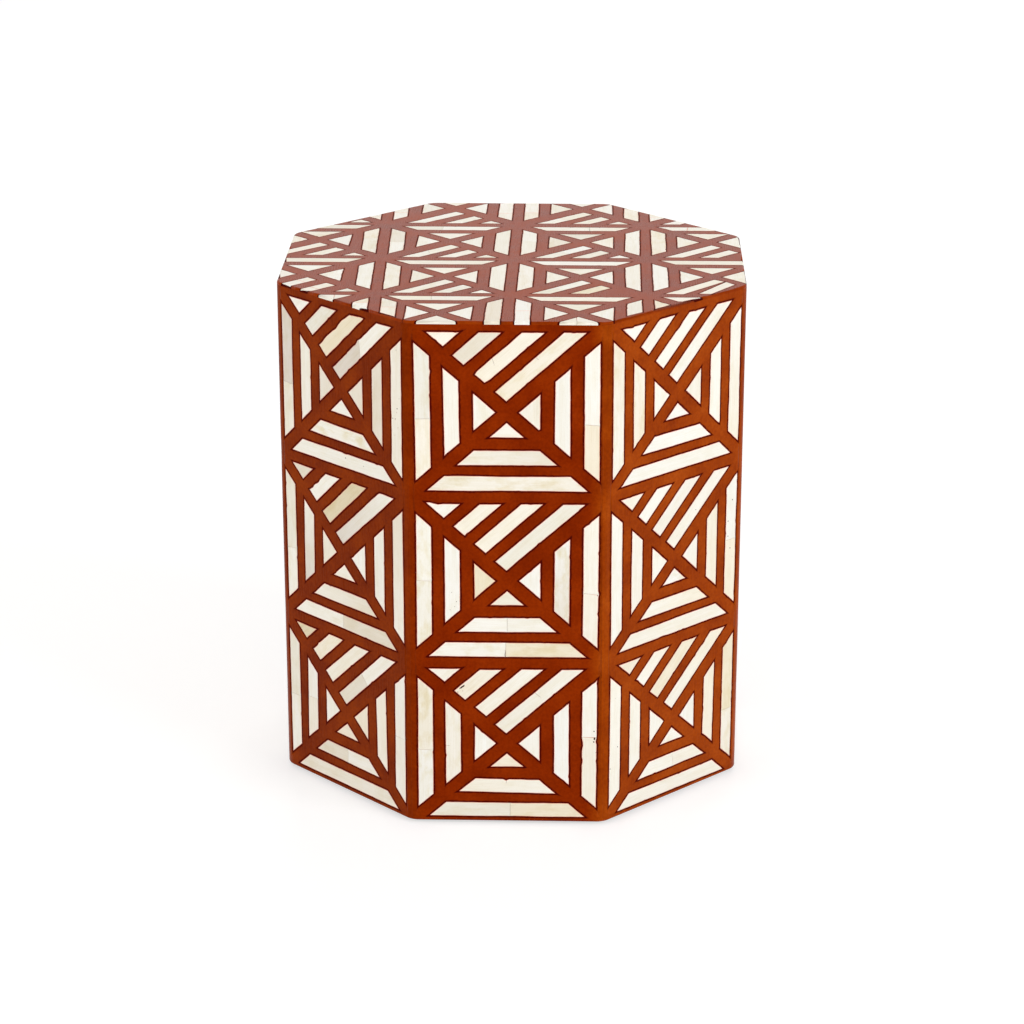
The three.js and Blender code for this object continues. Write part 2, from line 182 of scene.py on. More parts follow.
# Strips of the three sides that are seen best: row from below, field, and place counted from outside
FRONT_MARKS: dict[Spot, Mark] = {
    (2, Field.LEFT, 0): Mark(
        Tone.IVORY, Tone.GREY, joint=0.45, stain=0.5, nicks=(Nick(0.79, -1, 0.8 * MM, 2.6 * MM),)
    ),
    (2, Field.LEFT, 1): Mark(Tone.WHITE, stain=0.1),
    (2, Field.LEFT, 2): Mark(Tone.WHITE, ragged=0.1, stain=0.4),
    (2, Field.RIGHT, 0): Mark(Tone.CREAM, Tone.WHITE, joint=0.41, lean=-4, stain=0.2),
    (2, Field.RIGHT, 1): Mark(Tone.WHITE, stain=0.0),
    (2, Field.RIGHT, 2): Mark(Tone.IVORY, blunt=1.6 * MM),
    (2, Field.BOTTOM, 0): Mark(Tone.IVORY, stain=0.8),
    (2, Field.BOTTOM, 1): Mark(Tone.IVORY, Tone.DRAB, stain=0.5),
    (2, Field.BOTTOM, 2): Mark(Tone.IVORY),
    (2, Field.TOP, 0): Mark(Tone.CREAM, Tone.IVORY, stain=0.6, cracks=(Crack(0.5, 1, 4 * MM, 10),)),
    (2, Field.TOP, 1): Mark(
        Tone.CREAM,
        Tone.IVORY,
        ragged=0.4,
        nicks=(Nick(0.03, -1, -1.0 * MM), Nick(0.0, 1, -0.9 * MM)),
        cracks=(Crack(0.3, 1, 7 * MM, -24),),
    ),
    (2, Field.TOP, 2): Mark(Tone.DRAB, stain=0.2),
    (2, Field.TOP, 3): Mark(Tone.IVORY, stain=0.4),
    (1, Field.LEFT, 0): Mark(Tone.WHITE, Tone.WHITE, joint=0.5, stain=0.8),
    (1, Field.LEFT, 1): Mark(
        Tone.WHITE,
        specks=0.5,
        pits=(
            Pit(0.25, -0.55),
            Pit(0.19, -0.3, 0.25 * MM),
            Pit(0.36, 0.1, 0.25 * MM),
            Pit(0.15, 0.3, 0.22 * MM),
        ),
    ),
    (1, Field.LEFT, 2): Mark(Tone.YELLOW, stain=0.2),
    (1, Field.RIGHT, 0): Mark(
        Tone.IVORY,
        Tone.WHITE,
        joint=0.41,
        lean=-6,
        nicks=(Nick(0.41, -1, 0.9 * MM, 2.4 * MM),),
        pits=(Pit(0.4, -0.8, 0.35 * MM),),
    ),
    (1, Field.RIGHT, 1): Mark(Tone.DRAB, Tone.WHITE, stain=1.0),
    (1, Field.RIGHT, 2): Mark(Tone.WHITE),
    (1, Field.BOTTOM, 0): Mark(
        Tone.WHITE, Tone.YELLOW, joint=0.49, stain=0.7, cracks=(Crack(0.486, -1, 6 * MM, 0, 0.5 * MM),)
    ),
    (1, Field.BOTTOM, 1): Mark(Tone.WHITE, Tone.WHITE, joint=0.5),
    (1, Field.BOTTOM, 2): Mark(Tone.GREY, stain=0.3),
    (1, Field.TOP, 0): Mark(Tone.GREY, stain=0.2),
    (1, Field.TOP, 1): Mark(Tone.IVORY),
    (1, Field.TOP, 2): Mark(Tone.IVORY),
    (1, Field.TOP, 3): Mark(
        Tone.WHITE, nicks=(Nick(0.05, 1, 1.6 * MM, 4 * MM), Nick(0.3, 1, -0.8 * MM, 3 * MM))
    ),
    (0, Field.LEFT, 0): Mark(Tone.WHITE, Tone.IVORY, joint=0.44, stain=0.9),
    (0, Field.LEFT, 1): Mark(Tone.IVORY, Tone.IVORY, stain=0.5, cracks=(Crack(0.46, 1, 4 * MM, 4),)),
    (0, Field.LEFT, 2): Mark(Tone.WHITE),
    (0, Field.RIGHT, 0): Mark(
        Tone.IVORY,
        Tone.WHITE,
        joint=0.555,
        specks=0.4,
        nicks=(
            Nick(0.5, 1, -0.9 * MM, 5 * MM),
            Nick(0.37, 1, -0.8 * MM, 3 * MM),
            Nick(0.53, -1, -1.2 * MM, 1.8 * MM),
        ),
        pits=(Pit(0.545, -0.7, 0.8 * MM), Pit(0.52, -0.62, 0.6 * MM)),
    ),
    (0, Field.RIGHT, 1): Mark(Tone.WHITE),
    (0, Field.RIGHT, 2): Mark(Tone.WHITE),
    (0, Field.BOTTOM, 0): Mark(Tone.GREY, Tone.YELLOW, joint=0.52, stain=0.5),
    (0, Field.BOTTOM, 1): Mark(
        Tone.IVORY,
        Tone.WHITE,
        ragged=0.3,
        nicks=(Nick(0.49, 1, -1.3 * MM, 2 * MM),),
        cracks=(Crack(0.49, 1, 4 * MM),),
    ),
    (0, Field.BOTTOM, 2): Mark(Tone.CREAM),
    (0, Field.TOP, 0): Mark(Tone.GREY, Tone.WHITE, stain=0.2, cracks=(Crack(0.5, 1, 8 * MM, 6),)),
    (0, Field.TOP, 1): Mark(Tone.IVORY, Tone.WHITE),
    (0, Field.TOP, 2): Mark(Tone.CREAM, Tone.IVORY, pits=SQUIGGLE),
    (0, Field.TOP, 3): Mark(Tone.IVORY),
}

LEFT_MARKS: dict[Spot, Mark] = {
    (2, Field.LEFT, 0): Mark(Tone.GREY, Tone.ASH, joint=0.42, lean=-3, stain=0.5),
    (2, Field.LEFT, 1): Mark(Tone.WHITE, ragged=0.4),
    (2, Field.LEFT, 2): Mark(Tone.DRAB),
    (2, Field.RIGHT, 0): Mark(
        Tone.IVORY,
        specks=0.6,
        ragged=0.5,
        pits=(Pit(0.42, 0.2, 0.45 * MM), Pit(0.36, -0.3, 0.35 * MM), Pit(0.47, -0.1), Pit(0.3, 0.3)),
    ),
    (2, Field.RIGHT, 1): Mark(Tone.DRAB, Tone.DRAB, stain=0.4),
    (2, Field.RIGHT, 2): Mark(Tone.DRAB),
    (2, Field.BOTTOM, 0): Mark(Tone.WHITE, specks=0.4, nicks=(Nick(0.53, 1, -0.8 * MM, 2.4 * MM),)),
    (2, Field.BOTTOM, 1): Mark(Tone.WHITE, stain=1.0),
    (2, Field.BOTTOM, 2): Mark(Tone.WHITE),
    (2, Field.TOP, 0): Mark(
        Tone.ASH, Tone.WHITE, joint=0.46, lean=-36, ragged=0.4, nicks=(Nick(0.5, 1, 0.9 * MM, 3 * MM),)
    ),
    (2, Field.TOP, 1): Mark(
        Tone.YELLOW,
        ragged=0.9,
        nicks=(
            Nick(0.62, 1, 0.9 * MM, 5 * MM),
            Nick(0.45, 1, -0.7 * MM, 4 * MM),
            Nick(0.8, 1, -0.8 * MM, 4 * MM),
        ),
    ),
    (2, Field.TOP, 2): Mark(Tone.GREY, stain=0.5),
    (2, Field.TOP, 3): Mark(Tone.WHITE),
    (1, Field.LEFT, 0): Mark(Tone.WHITE, Tone.GREY, joint=0.4, lean=8, stain=0.5),
    (1, Field.LEFT, 1): Mark(Tone.ASH, Tone.WHITE, stain=0.4),
    (1, Field.LEFT, 2): Mark(Tone.GREY),
    (1, Field.RIGHT, 0): Mark(Tone.WHITE, Tone.DRAB),
    (1, Field.RIGHT, 1): Mark(Tone.WHITE),
    (1, Field.RIGHT, 2): Mark(Tone.WHITE),
    (1, Field.BOTTOM, 0): Mark(Tone.WHITE, Tone.DRAB, joint=0.48, stain=0.4),
    (1, Field.BOTTOM, 1): Mark(Tone.WHITE, Tone.DRAB),
    (1, Field.BOTTOM, 2): Mark(Tone.WHITE),
    (1, Field.TOP, 0): Mark(Tone.ASH, Tone.WHITE, ragged=0.3),
    (1, Field.TOP, 1): Mark(Tone.KHAKI, ragged=0.5, stain=0.5),
    (1, Field.TOP, 2): Mark(
        Tone.WHITE, nicks=(Nick(0.35, 1, -1.0 * MM, 4 * MM), Nick(0.1, 1, -1.0 * MM, 2 * MM))
    ),
    (1, Field.TOP, 3): Mark(Tone.DRAB),
    (0, Field.LEFT, 0): Mark(Tone.WHITE, Tone.GREY, joint=0.48, stain=0.4),
    (0, Field.LEFT, 1): Mark(Tone.IVORY, Tone.WHITE, joint=0.52, lean=2),
    (0, Field.LEFT, 2): Mark(Tone.WHITE),
    (0, Field.RIGHT, 0): Mark(Tone.WHITE, Tone.WHITE, joint=0.5),
    (0, Field.RIGHT, 1): Mark(Tone.IVORY),
    (0, Field.RIGHT, 2): Mark(Tone.CREAM),
    (0, Field.BOTTOM, 0): Mark(Tone.IVORY, stain=0.4),
    (0, Field.BOTTOM, 1): Mark(Tone.DRAB, Tone.WHITE, joint=0.5, stain=0.4),
    (0, Field.BOTTOM, 2): Mark(Tone.CREAM),
    (0, Field.TOP, 0): Mark(Tone.DRAB, Tone.WHITE, joint=0.45),
    (0, Field.TOP, 1): Mark(Tone.IVORY),
    (0, Field.TOP, 2): Mark(Tone.CREAM, ragged=0.5, stain=0.5, nicks=(Nick(0.25, 1, 0.8 * MM, 3 * MM),)),
    (0, Field.TOP, 3): Mark(Tone.KHAKI, stain=0.6),
}

RIGHT_MARKS: dict[Spot, Mark] = {
    (2, Field.LEFT, 0): Mark(Tone.WHITE, Tone.CREAM, stain=0.7),
    (2, Field.LEFT, 1): Mark(Tone.CREAM, Tone.IVORY, stain=0.8),
    (2, Field.LEFT, 2): Mark(Tone.WHITE),
    (2, Field.RIGHT, 0): Mark(Tone.CREAM, Tone.WHITE, ragged=0.6, nicks=(Nick(0.62, 1, 0.9 * MM, 3 * MM),)),
    (2, Field.RIGHT, 1): Mark(Tone.WHITE, ragged=0.4),
    (2, Field.RIGHT, 2): Mark(Tone.IVORY),
    (2, Field.BOTTOM, 0): Mark(Tone.WHITE),
    (2, Field.BOTTOM, 1): Mark(Tone.WHITE),
    (2, Field.BOTTOM, 2): Mark(Tone.WHITE),
    (2, Field.TOP, 0): Mark(Tone.WHITE, Tone.IVORY, stain=0.4),
    (2, Field.TOP, 1): Mark(Tone.WHITE, nicks=(Nick(0.55, 1, -0.7 * MM, 5 * MM),)),
    (2, Field.TOP, 2): Mark(Tone.WHITE),
    (2, Field.TOP, 3): Mark(Tone.WHITE, nicks=(Nick(0.4, 1, -1.0 * MM, 4 * MM),)),
    (1, Field.LEFT, 0): Mark(Tone.WHITE),
    (1, Field.LEFT, 1): Mark(Tone.IVORY, Tone.WHITE),
    (1, Field.LEFT, 2): Mark(Tone.WHITE),
    (1, Field.RIGHT, 0): Mark(Tone.CREAM, Tone.WHITE, joint=0.5, ragged=0.5, specks=0.5),
    (1, Field.RIGHT, 1): Mark(Tone.CREAM),
    (1, Field.RIGHT, 2): Mark(Tone.IVORY),
    (1, Field.BOTTOM, 0): Mark(Tone.IVORY, nicks=(Nick(0.4, -1, -0.6 * MM, 6 * MM),)),
    (1, Field.BOTTOM, 1): Mark(Tone.WHITE, Tone.CREAM),
    (1, Field.TOP, 0): Mark(Tone.IVORY, specks=0.5),
    (1, Field.TOP, 1): Mark(Tone.IVORY),
    (1, Field.TOP, 2): Mark(Tone.WHITE),
    (1, Field.TOP, 3): Mark(Tone.IVORY),
    (0, Field.LEFT, 0): Mark(Tone.WHITE, specks=0.3),
    (0, Field.LEFT, 1): Mark(Tone.WHITE),
    (0, Field.RIGHT, 0): Mark(Tone.IVORY, Tone.YELLOW, joint=0.4, stain=0.6),
    (0, Field.RIGHT, 1): Mark(Tone.CREAM, ragged=0.4, nicks=(Nick(0.45, 1, -0.9 * MM, 2 * MM),)),
    (0, Field.BOTTOM, 0): Mark(Tone.IVORY),
    (0, Field.BOTTOM, 1): Mark(Tone.WHITE, Tone.IVORY, joint=0.52, lean=3),
    (0, Field.TOP, 0): Mark(
        Tone.WHITE,
        Tone.CREAM,
        specks=0.5,
        nicks=(Nick(0.55, 1, -0.7 * MM, 2 * MM), Nick(0.72, 1, -0.9 * MM, 3 * MM)),
    ),
    (0, Field.TOP, 1): Mark(Tone.CREAM, stain=0.4),
    (0, Field.TOP, 2): Mark(Tone.WHITE, Tone.CREAM),
    (0, Field.TOP, 3): Mark(Tone.CREAM),
}

SIDE_MARKS: dict[int, dict[Spot, Mark]] = {1: FRONT_MARKS, 2: RIGHT_MARKS, 8: LEFT_MARKS}


@dataclass(frozen=True)
class Cut:
    """A straight cut on a flat face. It keeps the side where across * x + up * y is at most reach."""

    across: float
    up: float
    reach: float

    def moved(self, x: float, y: float) -> "Cut":
        """This cut, carried along by x and y."""
        return Cut(self.across, self.up, self.reach + self.across * x + self.up * y)

    def turned_half_round(self) -> "Cut":
        """This cut, turned half round about the middle of its tile."""
        return Cut(-self.across, -self.up, self.reach)

    def inset(self, depth: float) -> "Cut":
        """This cut, set back by depth into the side that it keeps."""
        return Cut(self.across, self.up, self.reach - depth)

    def flipped(self) -> "Cut":
        """The same line, keeping the other side."""
        return Cut(-self.across, -self.up, -self.reach)

    def turned(self, angle: float, pivot: Vector) -> "Cut":
        """Turns this cut.

        Args:
            angle: how far, in radians.
            pivot: the point that it turns about.

        Returns:
            The turned cut.
        """
        old = Vector((self.across, self.up, 0))
        new = Matrix.Rotation(angle, 3, "Z") @ old
        return Cut(new.x, new.y, self.reach + (new - old).dot(pivot))

    def behind(self, point: Vector) -> float:
        """How far a point lies inside the side that is kept."""
        return self.reach - self.across * point.x - self.up * point.y


@dataclass(frozen=True)
class Strip:
    """One strip of bone in the pattern: the cuts round it, its place in its tile, and its grain's way."""

    cuts: tuple[Cut, ...]
    side: Field
    order: int
    grain: float

    def along(self) -> Vector:
        """The way that its grain runs, as a direction of length 1."""
        return Vector((math.cos(self.grain), math.sin(self.grain), 0))

    def moved(self, x: float, y: float) -> "Strip":
        """This strip, carried along by x and y."""
        return Strip(tuple(cut.moved(x, y) for cut in self.cuts), self.side, self.order, self.grain)

    def turned_half_round(self) -> "Strip":
        """This strip, turned half round about the middle of its tile."""
        return Strip(tuple(cut.turned_half_round() for cut in self.cuts), self.side, self.order, self.grain)

    def turned(self, angle: float, pivot: Vector) -> "Strip":
        """This strip, turned by an angle about a point."""
        cuts = tuple(cut.turned(angle, pivot) for cut in self.cuts)
        return Strip(cuts, self.side, self.order, self.grain + angle)

    @classmethod
    def patch(cls, corners: Sequence[tuple[float, float]], grain: float) -> "Strip":
        """Makes an odd strip by its corners.

        Args:
            corners: its corners, which run counterclockwise.
            grain: the way its grain runs.

        Returns:
            The strip.
        """
        cuts = []
        for (x, y), (next_x, next_y) in zip(corners, (*corners[1:], corners[0])):
            outward = Vector((next_y - y, x - next_x)).normalized()
            cuts.append(Cut(outward.x, outward.y, outward.dot(Vector((x, y)))))
        return cls(tuple(cuts), Field.TOP, 0, grain)

    def trimmed(self, cuts: Iterable[Cut]) -> "Strip":
        """This strip with more cuts across it."""
        return Strip((*self.cuts, *cuts), self.side, self.order, self.grain)


@dataclass(frozen=True)
class Tile:
    """A square of inlay. Its two diagonals cut it into four fields.

    Three fields hold bars in rings round a small triangle, and the fourth holds slanting stripes and a corner
    triangle.
    """

    width: float
    height: float
    bar_width: float
    ring_across_shares: tuple[float, ...]
    ring_down_shares: tuple[float, ...]
    band_half_width: float
    stripes: int
    first_stripe: float
    stripe_width: float
    stripe_pitch: float

    def slopes(self) -> tuple[float, float]:
        """How far across and how far down the direction square to the falling diagonal goes."""
        diagonal = math.hypot(self.width, self.height)
        return self.height / diagonal, self.width / diagonal

    def strips(self) -> list[Strip]:
        """Draws the tile round its middle.

        Returns:
            All its strips.
        """
        across, down = self.slopes()
        left_of_falling = Cut(across, down, -self.band_half_width)
        right_of_falling = Cut(-across, -down, -self.band_half_width)
        left_of_rising = Cut(across, -down, -self.band_half_width)
        right_of_rising = Cut(-across, down, -self.band_half_width)
        upright = 90 * DEGREE
        shares_across = self.ring_across_shares
        ring_fields = (
            (Field.LEFT, left_of_falling, left_of_rising, self.width / 2, shares_across, upright),
            (Field.RIGHT, right_of_falling, right_of_rising, self.width / 2, shares_across, upright),
            (Field.BOTTOM, left_of_falling, right_of_rising, self.height / 2, self.ring_down_shares, 0.0),
        )
        strips = []
        for side, falling, rising, edge, shares, grain in ring_fields:
            for ring, share in enumerate(shares):
                outer = edge * (1 - share)
                cuts = [falling, rising, Cut(*side.value, outer)]
                if ring + 1 < len(shares):
                    cuts.append(Cut(*side.value, outer - self.bar_width).flipped())
                strips.append(Strip(tuple(cuts), side, ring, grain))
        top_edge = Cut(*Field.TOP.value, self.height / 2)
        for stripe in range(self.stripes + 1):
            near = self.first_stripe + stripe * self.stripe_pitch
            cuts = [right_of_falling, top_edge, Cut(across, -down, -near)]
            if stripe < self.stripes:
                cuts.append(Cut(-across, down, near + self.stripe_width))
            strips.append(Strip(tuple(cuts), Field.TOP, stripe, math.atan2(self.height, self.width)))
        return strips

    def wedge_strips(self) -> list[Strip]:
        """Draws the tile with one plain wedge in place of its stripes.

        Returns:
            All its strips.
        """
        across, down = self.slopes()
        ringed = [strip for strip in self.strips() if strip.side is not Field.TOP]
        cuts = (
            Cut(-across, -down, -self.band_half_width),
            Cut(across, -down, -self.band_half_width),
            Cut(*Field.TOP.value, self.height / 2),
        )
        return [*ringed, Strip(cuts, Field.TOP, 0, 0.0)]


@dataclass(frozen=True)
class Skin:
    """Where the stool's outer skin lies, read from the frame, and how far its edges are softened."""

    face_out: float
    back: float
    bottom: float
    seat_bottom: float
    top: float
    corner_round: float = 14 * MM
    rim_round: float = 1.6 * MM
    foot_round: float = 1.8 * MM
    corner_steps: int = 20
    edge_steps: int = 6

    @classmethod
    def from_frame(cls) -> "Skin":
        """Reads where the skin lies.

        Returns:
            The skin that the frame's own pieces fill.
        """
        bone_low, bone_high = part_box("side_bone_inlay_1")
        resin_low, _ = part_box("side_resin_ground_1")
        seat_low, seat_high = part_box("seat_resin_ground")
        return cls(-bone_low.y, -bone_high.y, resin_low.z, seat_low.z, seat_high.z)

    def drum(self, sink: float, low: float, high: float, softened: float, soft_height: float) -> BMesh:
        """An eight-sided block with rounded upright edges and one softened level edge.

        Args:
            sink: how far its sides lie inside the finished faces.
            low: height of its underside.
            high: height of its top.
            softened: radius of the level edge that is rounded over.
            soft_height: height of that edge, either low or high.

        Returns:
            The block, in the stool's own frame.
        """
        block = bmesh.new()
        place = Matrix.Translation((0, 0, low)) @ Matrix.Rotation(HALF_TURN, 4, "Z")
        radius = (self.face_out - sink) / math.cos(HALF_TURN)
        bmesh.ops.create_circle(block, cap_ends=True, segments=SIDE_COUNT, radius=radius, matrix=place)
        thicken(block, high - low)
        upright = [edge for edge in block.edges if abs(edge.verts[0].co.z - edge.verts[1].co.z) > WELD]
        round_over(block, upright, (self.corner_round - sink) * math.tan(HALF_TURN), self.corner_steps)
        level = [edge for edge in block.edges if all(abs(v.co.z - soft_height) < WELD for v in edge.verts)]
        round_over(block, level, softened, self.edge_steps)
        return block

    def rim_cuts(self, sink: float) -> list[Cut]:
        """The eight straight edges of the seat, seen from above, set in by sink."""
        turns = [side * SIDE_TURN for side in range(SIDE_COUNT)]
        return [Cut(math.sin(turn), -math.cos(turn), self.face_out - sink) for turn in turns]


def thicken(block: BMesh, height: float) -> None:
    """Gives the flat faces of a mesh a thickness upwards.

    Args:
        block: a mesh of flat faces that lie level.
        height: how thick they become.
    """
    raised = bmesh.ops.extrude_face_region(block, geom=block.faces[:], use_keep_orig=True)
    corners = [part for part in raised["geom"] if isinstance(part, BMVert)]
    bmesh.ops.translate(block, verts=corners, vec=(0, 0, height))
    bmesh.ops.recalc_face_normals(block, faces=block.faces)


def round_over(block: BMesh, edges: list, radius: float, steps: int) -> None:
    """Rounds edges over and shades the round smooth.

    Args:
        block: the mesh.
        edges: the edges to round.
        radius: how far the round reaches from each edge.
        steps: faces across the round.
    """
    made = bmesh.ops.bevel(
        block,
        geom=edges,
        offset=radius,
        offset_type="OFFSET",
        segments=steps,
        profile=0.5,
        affect="EDGES",
        material=-1,
    )
    for face in made["faces"]:
        face.smooth = True


def trim(block: BMesh, point: Vector, normal: Vector, cap: bool = True) -> None:
    """Cuts away all that lies beyond a plane.

    Args:
        block: the mesh to cut.
        point: a point on the plane.
        normal: the plane's direction, towards what goes.
        cap: whether the open cut is closed with a face.
    """
    everything = block.verts[:] + block.edges[:] + block.faces[:]
    result = bmesh.ops.bisect_plane(
        block, geom=everything, dist=WELD, plane_co=point, plane_no=normal, clear_outer=True
    )
    if cap:
        open_edges = [part for part in result["geom_cut"] if isinstance(part, bmesh.types.BMEdge)]
        bmesh.ops.edgeloop_fill(block, edges=open_edges)


def cut_off(sheet: BMesh, corners: list[BMVert], loss: float) -> None:
    """Cuts corners of a flat sheet straight off.

    Args:
        sheet: the sheet.
        corners: the corners.
        loss: how much of the edges beside each corner goes.
    """
    bmesh.ops.bevel(
        sheet, geom=corners, offset=loss, segments=1, profile=0.5, affect="VERTICES", material=-1
    )


def reach_of(block: BMesh, along: Vector) -> tuple[float, float]:
    """Where a mesh starts along a direction, and how long it is that way."""
    places = [vert.co.dot(along) for vert in block.verts]
    return min(places), max(places) - min(places)


def trim_flat(sheet: BMesh, cut: Cut) -> None:
    """Trims a flat sheet along one cut."""
    direction = Vector((cut.across, cut.up, 0))
    trim(sheet, direction * cut.reach, direction, cap=False)


def sheet_of(cuts: Iterable[Cut], size: float = 0.6) -> BMesh:
    """Cuts a large flat sheet to size.

    Args:
        cuts: the cuts.
        size: half the side of the sheet before they are made.

    Returns:
        The flat face that they leave, or nothing.
    """
    sheet = bmesh.new()
    bmesh.ops.create_grid(sheet, x_segments=1, y_segments=1, size=size)
    for cut in cuts:
        trim_flat(sheet, cut)
    return sheet


def mesh_of(block: BMesh, name: str) -> bpy.types.Mesh:
    """Turns a bmesh into a mesh.

    Args:
        block: the bmesh, which is freed.
        name: the mesh's name.

    Returns:
        The mesh.
    """
    mesh = bpy.data.meshes.new(name)
    block.to_mesh(mesh)
    block.free()
    return mesh


def gathered(pieces: Iterable[BMesh]) -> BMesh:
    """Puts separate pieces into one bmesh.

    Args:
        pieces: the pieces, which are freed.

    Returns:
        The bmesh that holds them all.
    """
    heap = bmesh.new()
    for piece in pieces:
        mesh = mesh_of(piece, "part")
        heap.from_mesh(mesh)
        bpy.data.meshes.remove(mesh)
    return heap


def carved(blank: BMesh, tool: BMesh, carving: Carving, crossing: bool = False) -> BMesh:
    """Cuts one solid by another, and frees both.

    Args:
        blank: the solid that is cut.
        tool: the solid that cuts it.
        carving: whether what lies inside the tool goes or stays.
        crossing: whether to allow for a solid whose own faces cross, which is slower.

    Returns:
        The solid that is left.
    """
    pair = [bpy.data.objects.new("carving", mesh_of(block, "carving")) for block in (blank, tool)]
    for item in pair:
        bpy.context.scene.collection.objects.link(item)
    cutter = pair[0].modifiers.new("cut", "BOOLEAN")
    cutter.solver = "EXACT"
    cutter.operation = carving.value
    cutter.use_self = crossing
    cutter.object = pair[1]
    ready = pair[0].evaluated_get(bpy.context.evaluated_depsgraph_get())
    result = bmesh.new()
    result.from_mesh(ready.to_mesh())
    ready.to_mesh_clear()
    for item in pair:
        mesh = item.data
        bpy.data.objects.remove(item)
        bpy.data.meshes.remove(mesh)
    return result


def placed(name: str, block: BMesh, finish: bpy.types.Material, replaced: tuple[str, ...]) -> None:
    """Makes a finished piece of a bmesh and fixes it to the stool.

    Args:
        name: the piece's name.
        block: its shape, in the stool's own frame.
        finish: its material.
        replaced: the frame's nodes that it stands for.
    """
    mesh = mesh_of(block, name)
    mesh.materials.clear()
    mesh.materials.append(finish)
    piece = bpy.data.objects.new(name, mesh)
    bpy.context.scene.collection.objects.link(piece)
    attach(piece, "root")
    if replaced:
        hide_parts(*replaced)
    log.info("%s: %d faces", name, len(mesh.polygons))


class NodeBoard:
    """The nodes of one material or of the room, which end in one shader."""

    def __init__(self, owner: bpy.types.Material | bpy.types.World, shader: str) -> None:
        """Takes up the nodes of a material or a room.

        Args:
            owner: the material or the room.
            shader: the name of its last shader.
        """
        owner.use_nodes = True
        self.owner = owner
        self.tree = owner.node_tree
        self.shader = self.tree.nodes[shader]

    @classmethod
    def of_material(cls, name: str) -> "NodeBoard":
        """The nodes of a new material."""
        return cls(bpy.data.materials.new(name), "Principled BSDF")

    def put(self, kind: str, inputs: dict[str | int, Any] | None = None, **settings: Any) -> bpy.types.Node:
        """Adds a node.

        Args:
            kind: the node's type, without its ShaderNode prefix.
            inputs: a value or another node's output for each named or numbered input.
            settings: the node's own options.

        Returns:
            The node.
        """
        node = self.tree.nodes.new(f"ShaderNode{kind}")
        for name, value in settings.items():
            setattr(node, name, value)
        for socket, value in (inputs or {}).items():
            self.feed(node.inputs[socket], value)
        return node

    def feed(self, socket: bpy.types.NodeSocket, value: Any) -> None:
        """Wires an output to a socket, or sets the socket's own value.

        Args:
            socket: the socket.
            value: another node's output, or a plain value.
        """
        if isinstance(value, bpy.types.NodeSocket):
            self.tree.links.new(value, socket)
        else:
            socket.default_value = value

    def finish(self, **inputs: Any) -> bpy.types.Material | bpy.types.World:
        """Sets the last shader's sockets.

        Args:
            inputs: a value or an output for each socket, named with underscores for spaces.

        Returns:
            The material or the room that the nodes belong to.
        """
        for name, value in inputs.items():
            self.feed(self.shader.inputs[name.replace("_", " ")], value)
        return self.owner

    def place(self) -> bpy.types.NodeSocket:
        """Coordinates in the stool's own frame, in metres."""
        return self.put("TexCoord").outputs["Object"]

    def stretched(self, vector: bpy.types.NodeSocket, sizes: Triple) -> bpy.types.NodeSocket:
        """Coordinates in which a pattern of size 1 comes out as large as sizes, along x, y and z."""
        scale = tuple(1 / size for size in sizes)
        return self.put("Mapping", {"Vector": vector, "Scale": scale}).outputs["Vector"]

    def clouds(self, vector: Any, size: float = 1.0, detail: float = 3.0, rough: float = 0.5) -> Any:
        """Soft noise from 0 to 1, with clouds of about that size."""
        inputs = {"Vector": vector, "Scale": 1 / size, "Detail": detail, "Roughness": rough}
        return self.put("TexNoise", inputs).outputs["Fac"]

    def span(self, value: Any, low: float, high: float, to_low: float = 0.0, to_high: float = 1.0) -> Any:
        """A value taken from one range to another, and held inside it."""
        inputs = {"Value": value, "From Min": low, "From Max": high, "To Min": to_low, "To Max": to_high}
        return self.put("MapRange", inputs, clamp=True).outputs["Result"]

    def mixed(self, share: Any, first: Any, second: Any, how: str = "MIX") -> bpy.types.NodeSocket:
        """One colour laid over another by a share."""
        return self.put("Mix", {0: share, 6: first, 7: second}, data_type="RGBA", blend_type=how).outputs[2]

    def reckoned(self, first: Any, second: Any, how: str = "MULTIPLY") -> bpy.types.NodeSocket:
        """Two numbers multiplied, or put together by another sum."""
        return self.put("Math", {0: first, 1: second}, operation=how).outputs[0]

    def relief(self, height: Any, depth: float) -> bpy.types.NodeSocket:
        """A fine surface relief of that depth."""
        return self.put("Bump", {"Height": height, "Distance": depth, "Strength": 1.0}).outputs["Normal"]


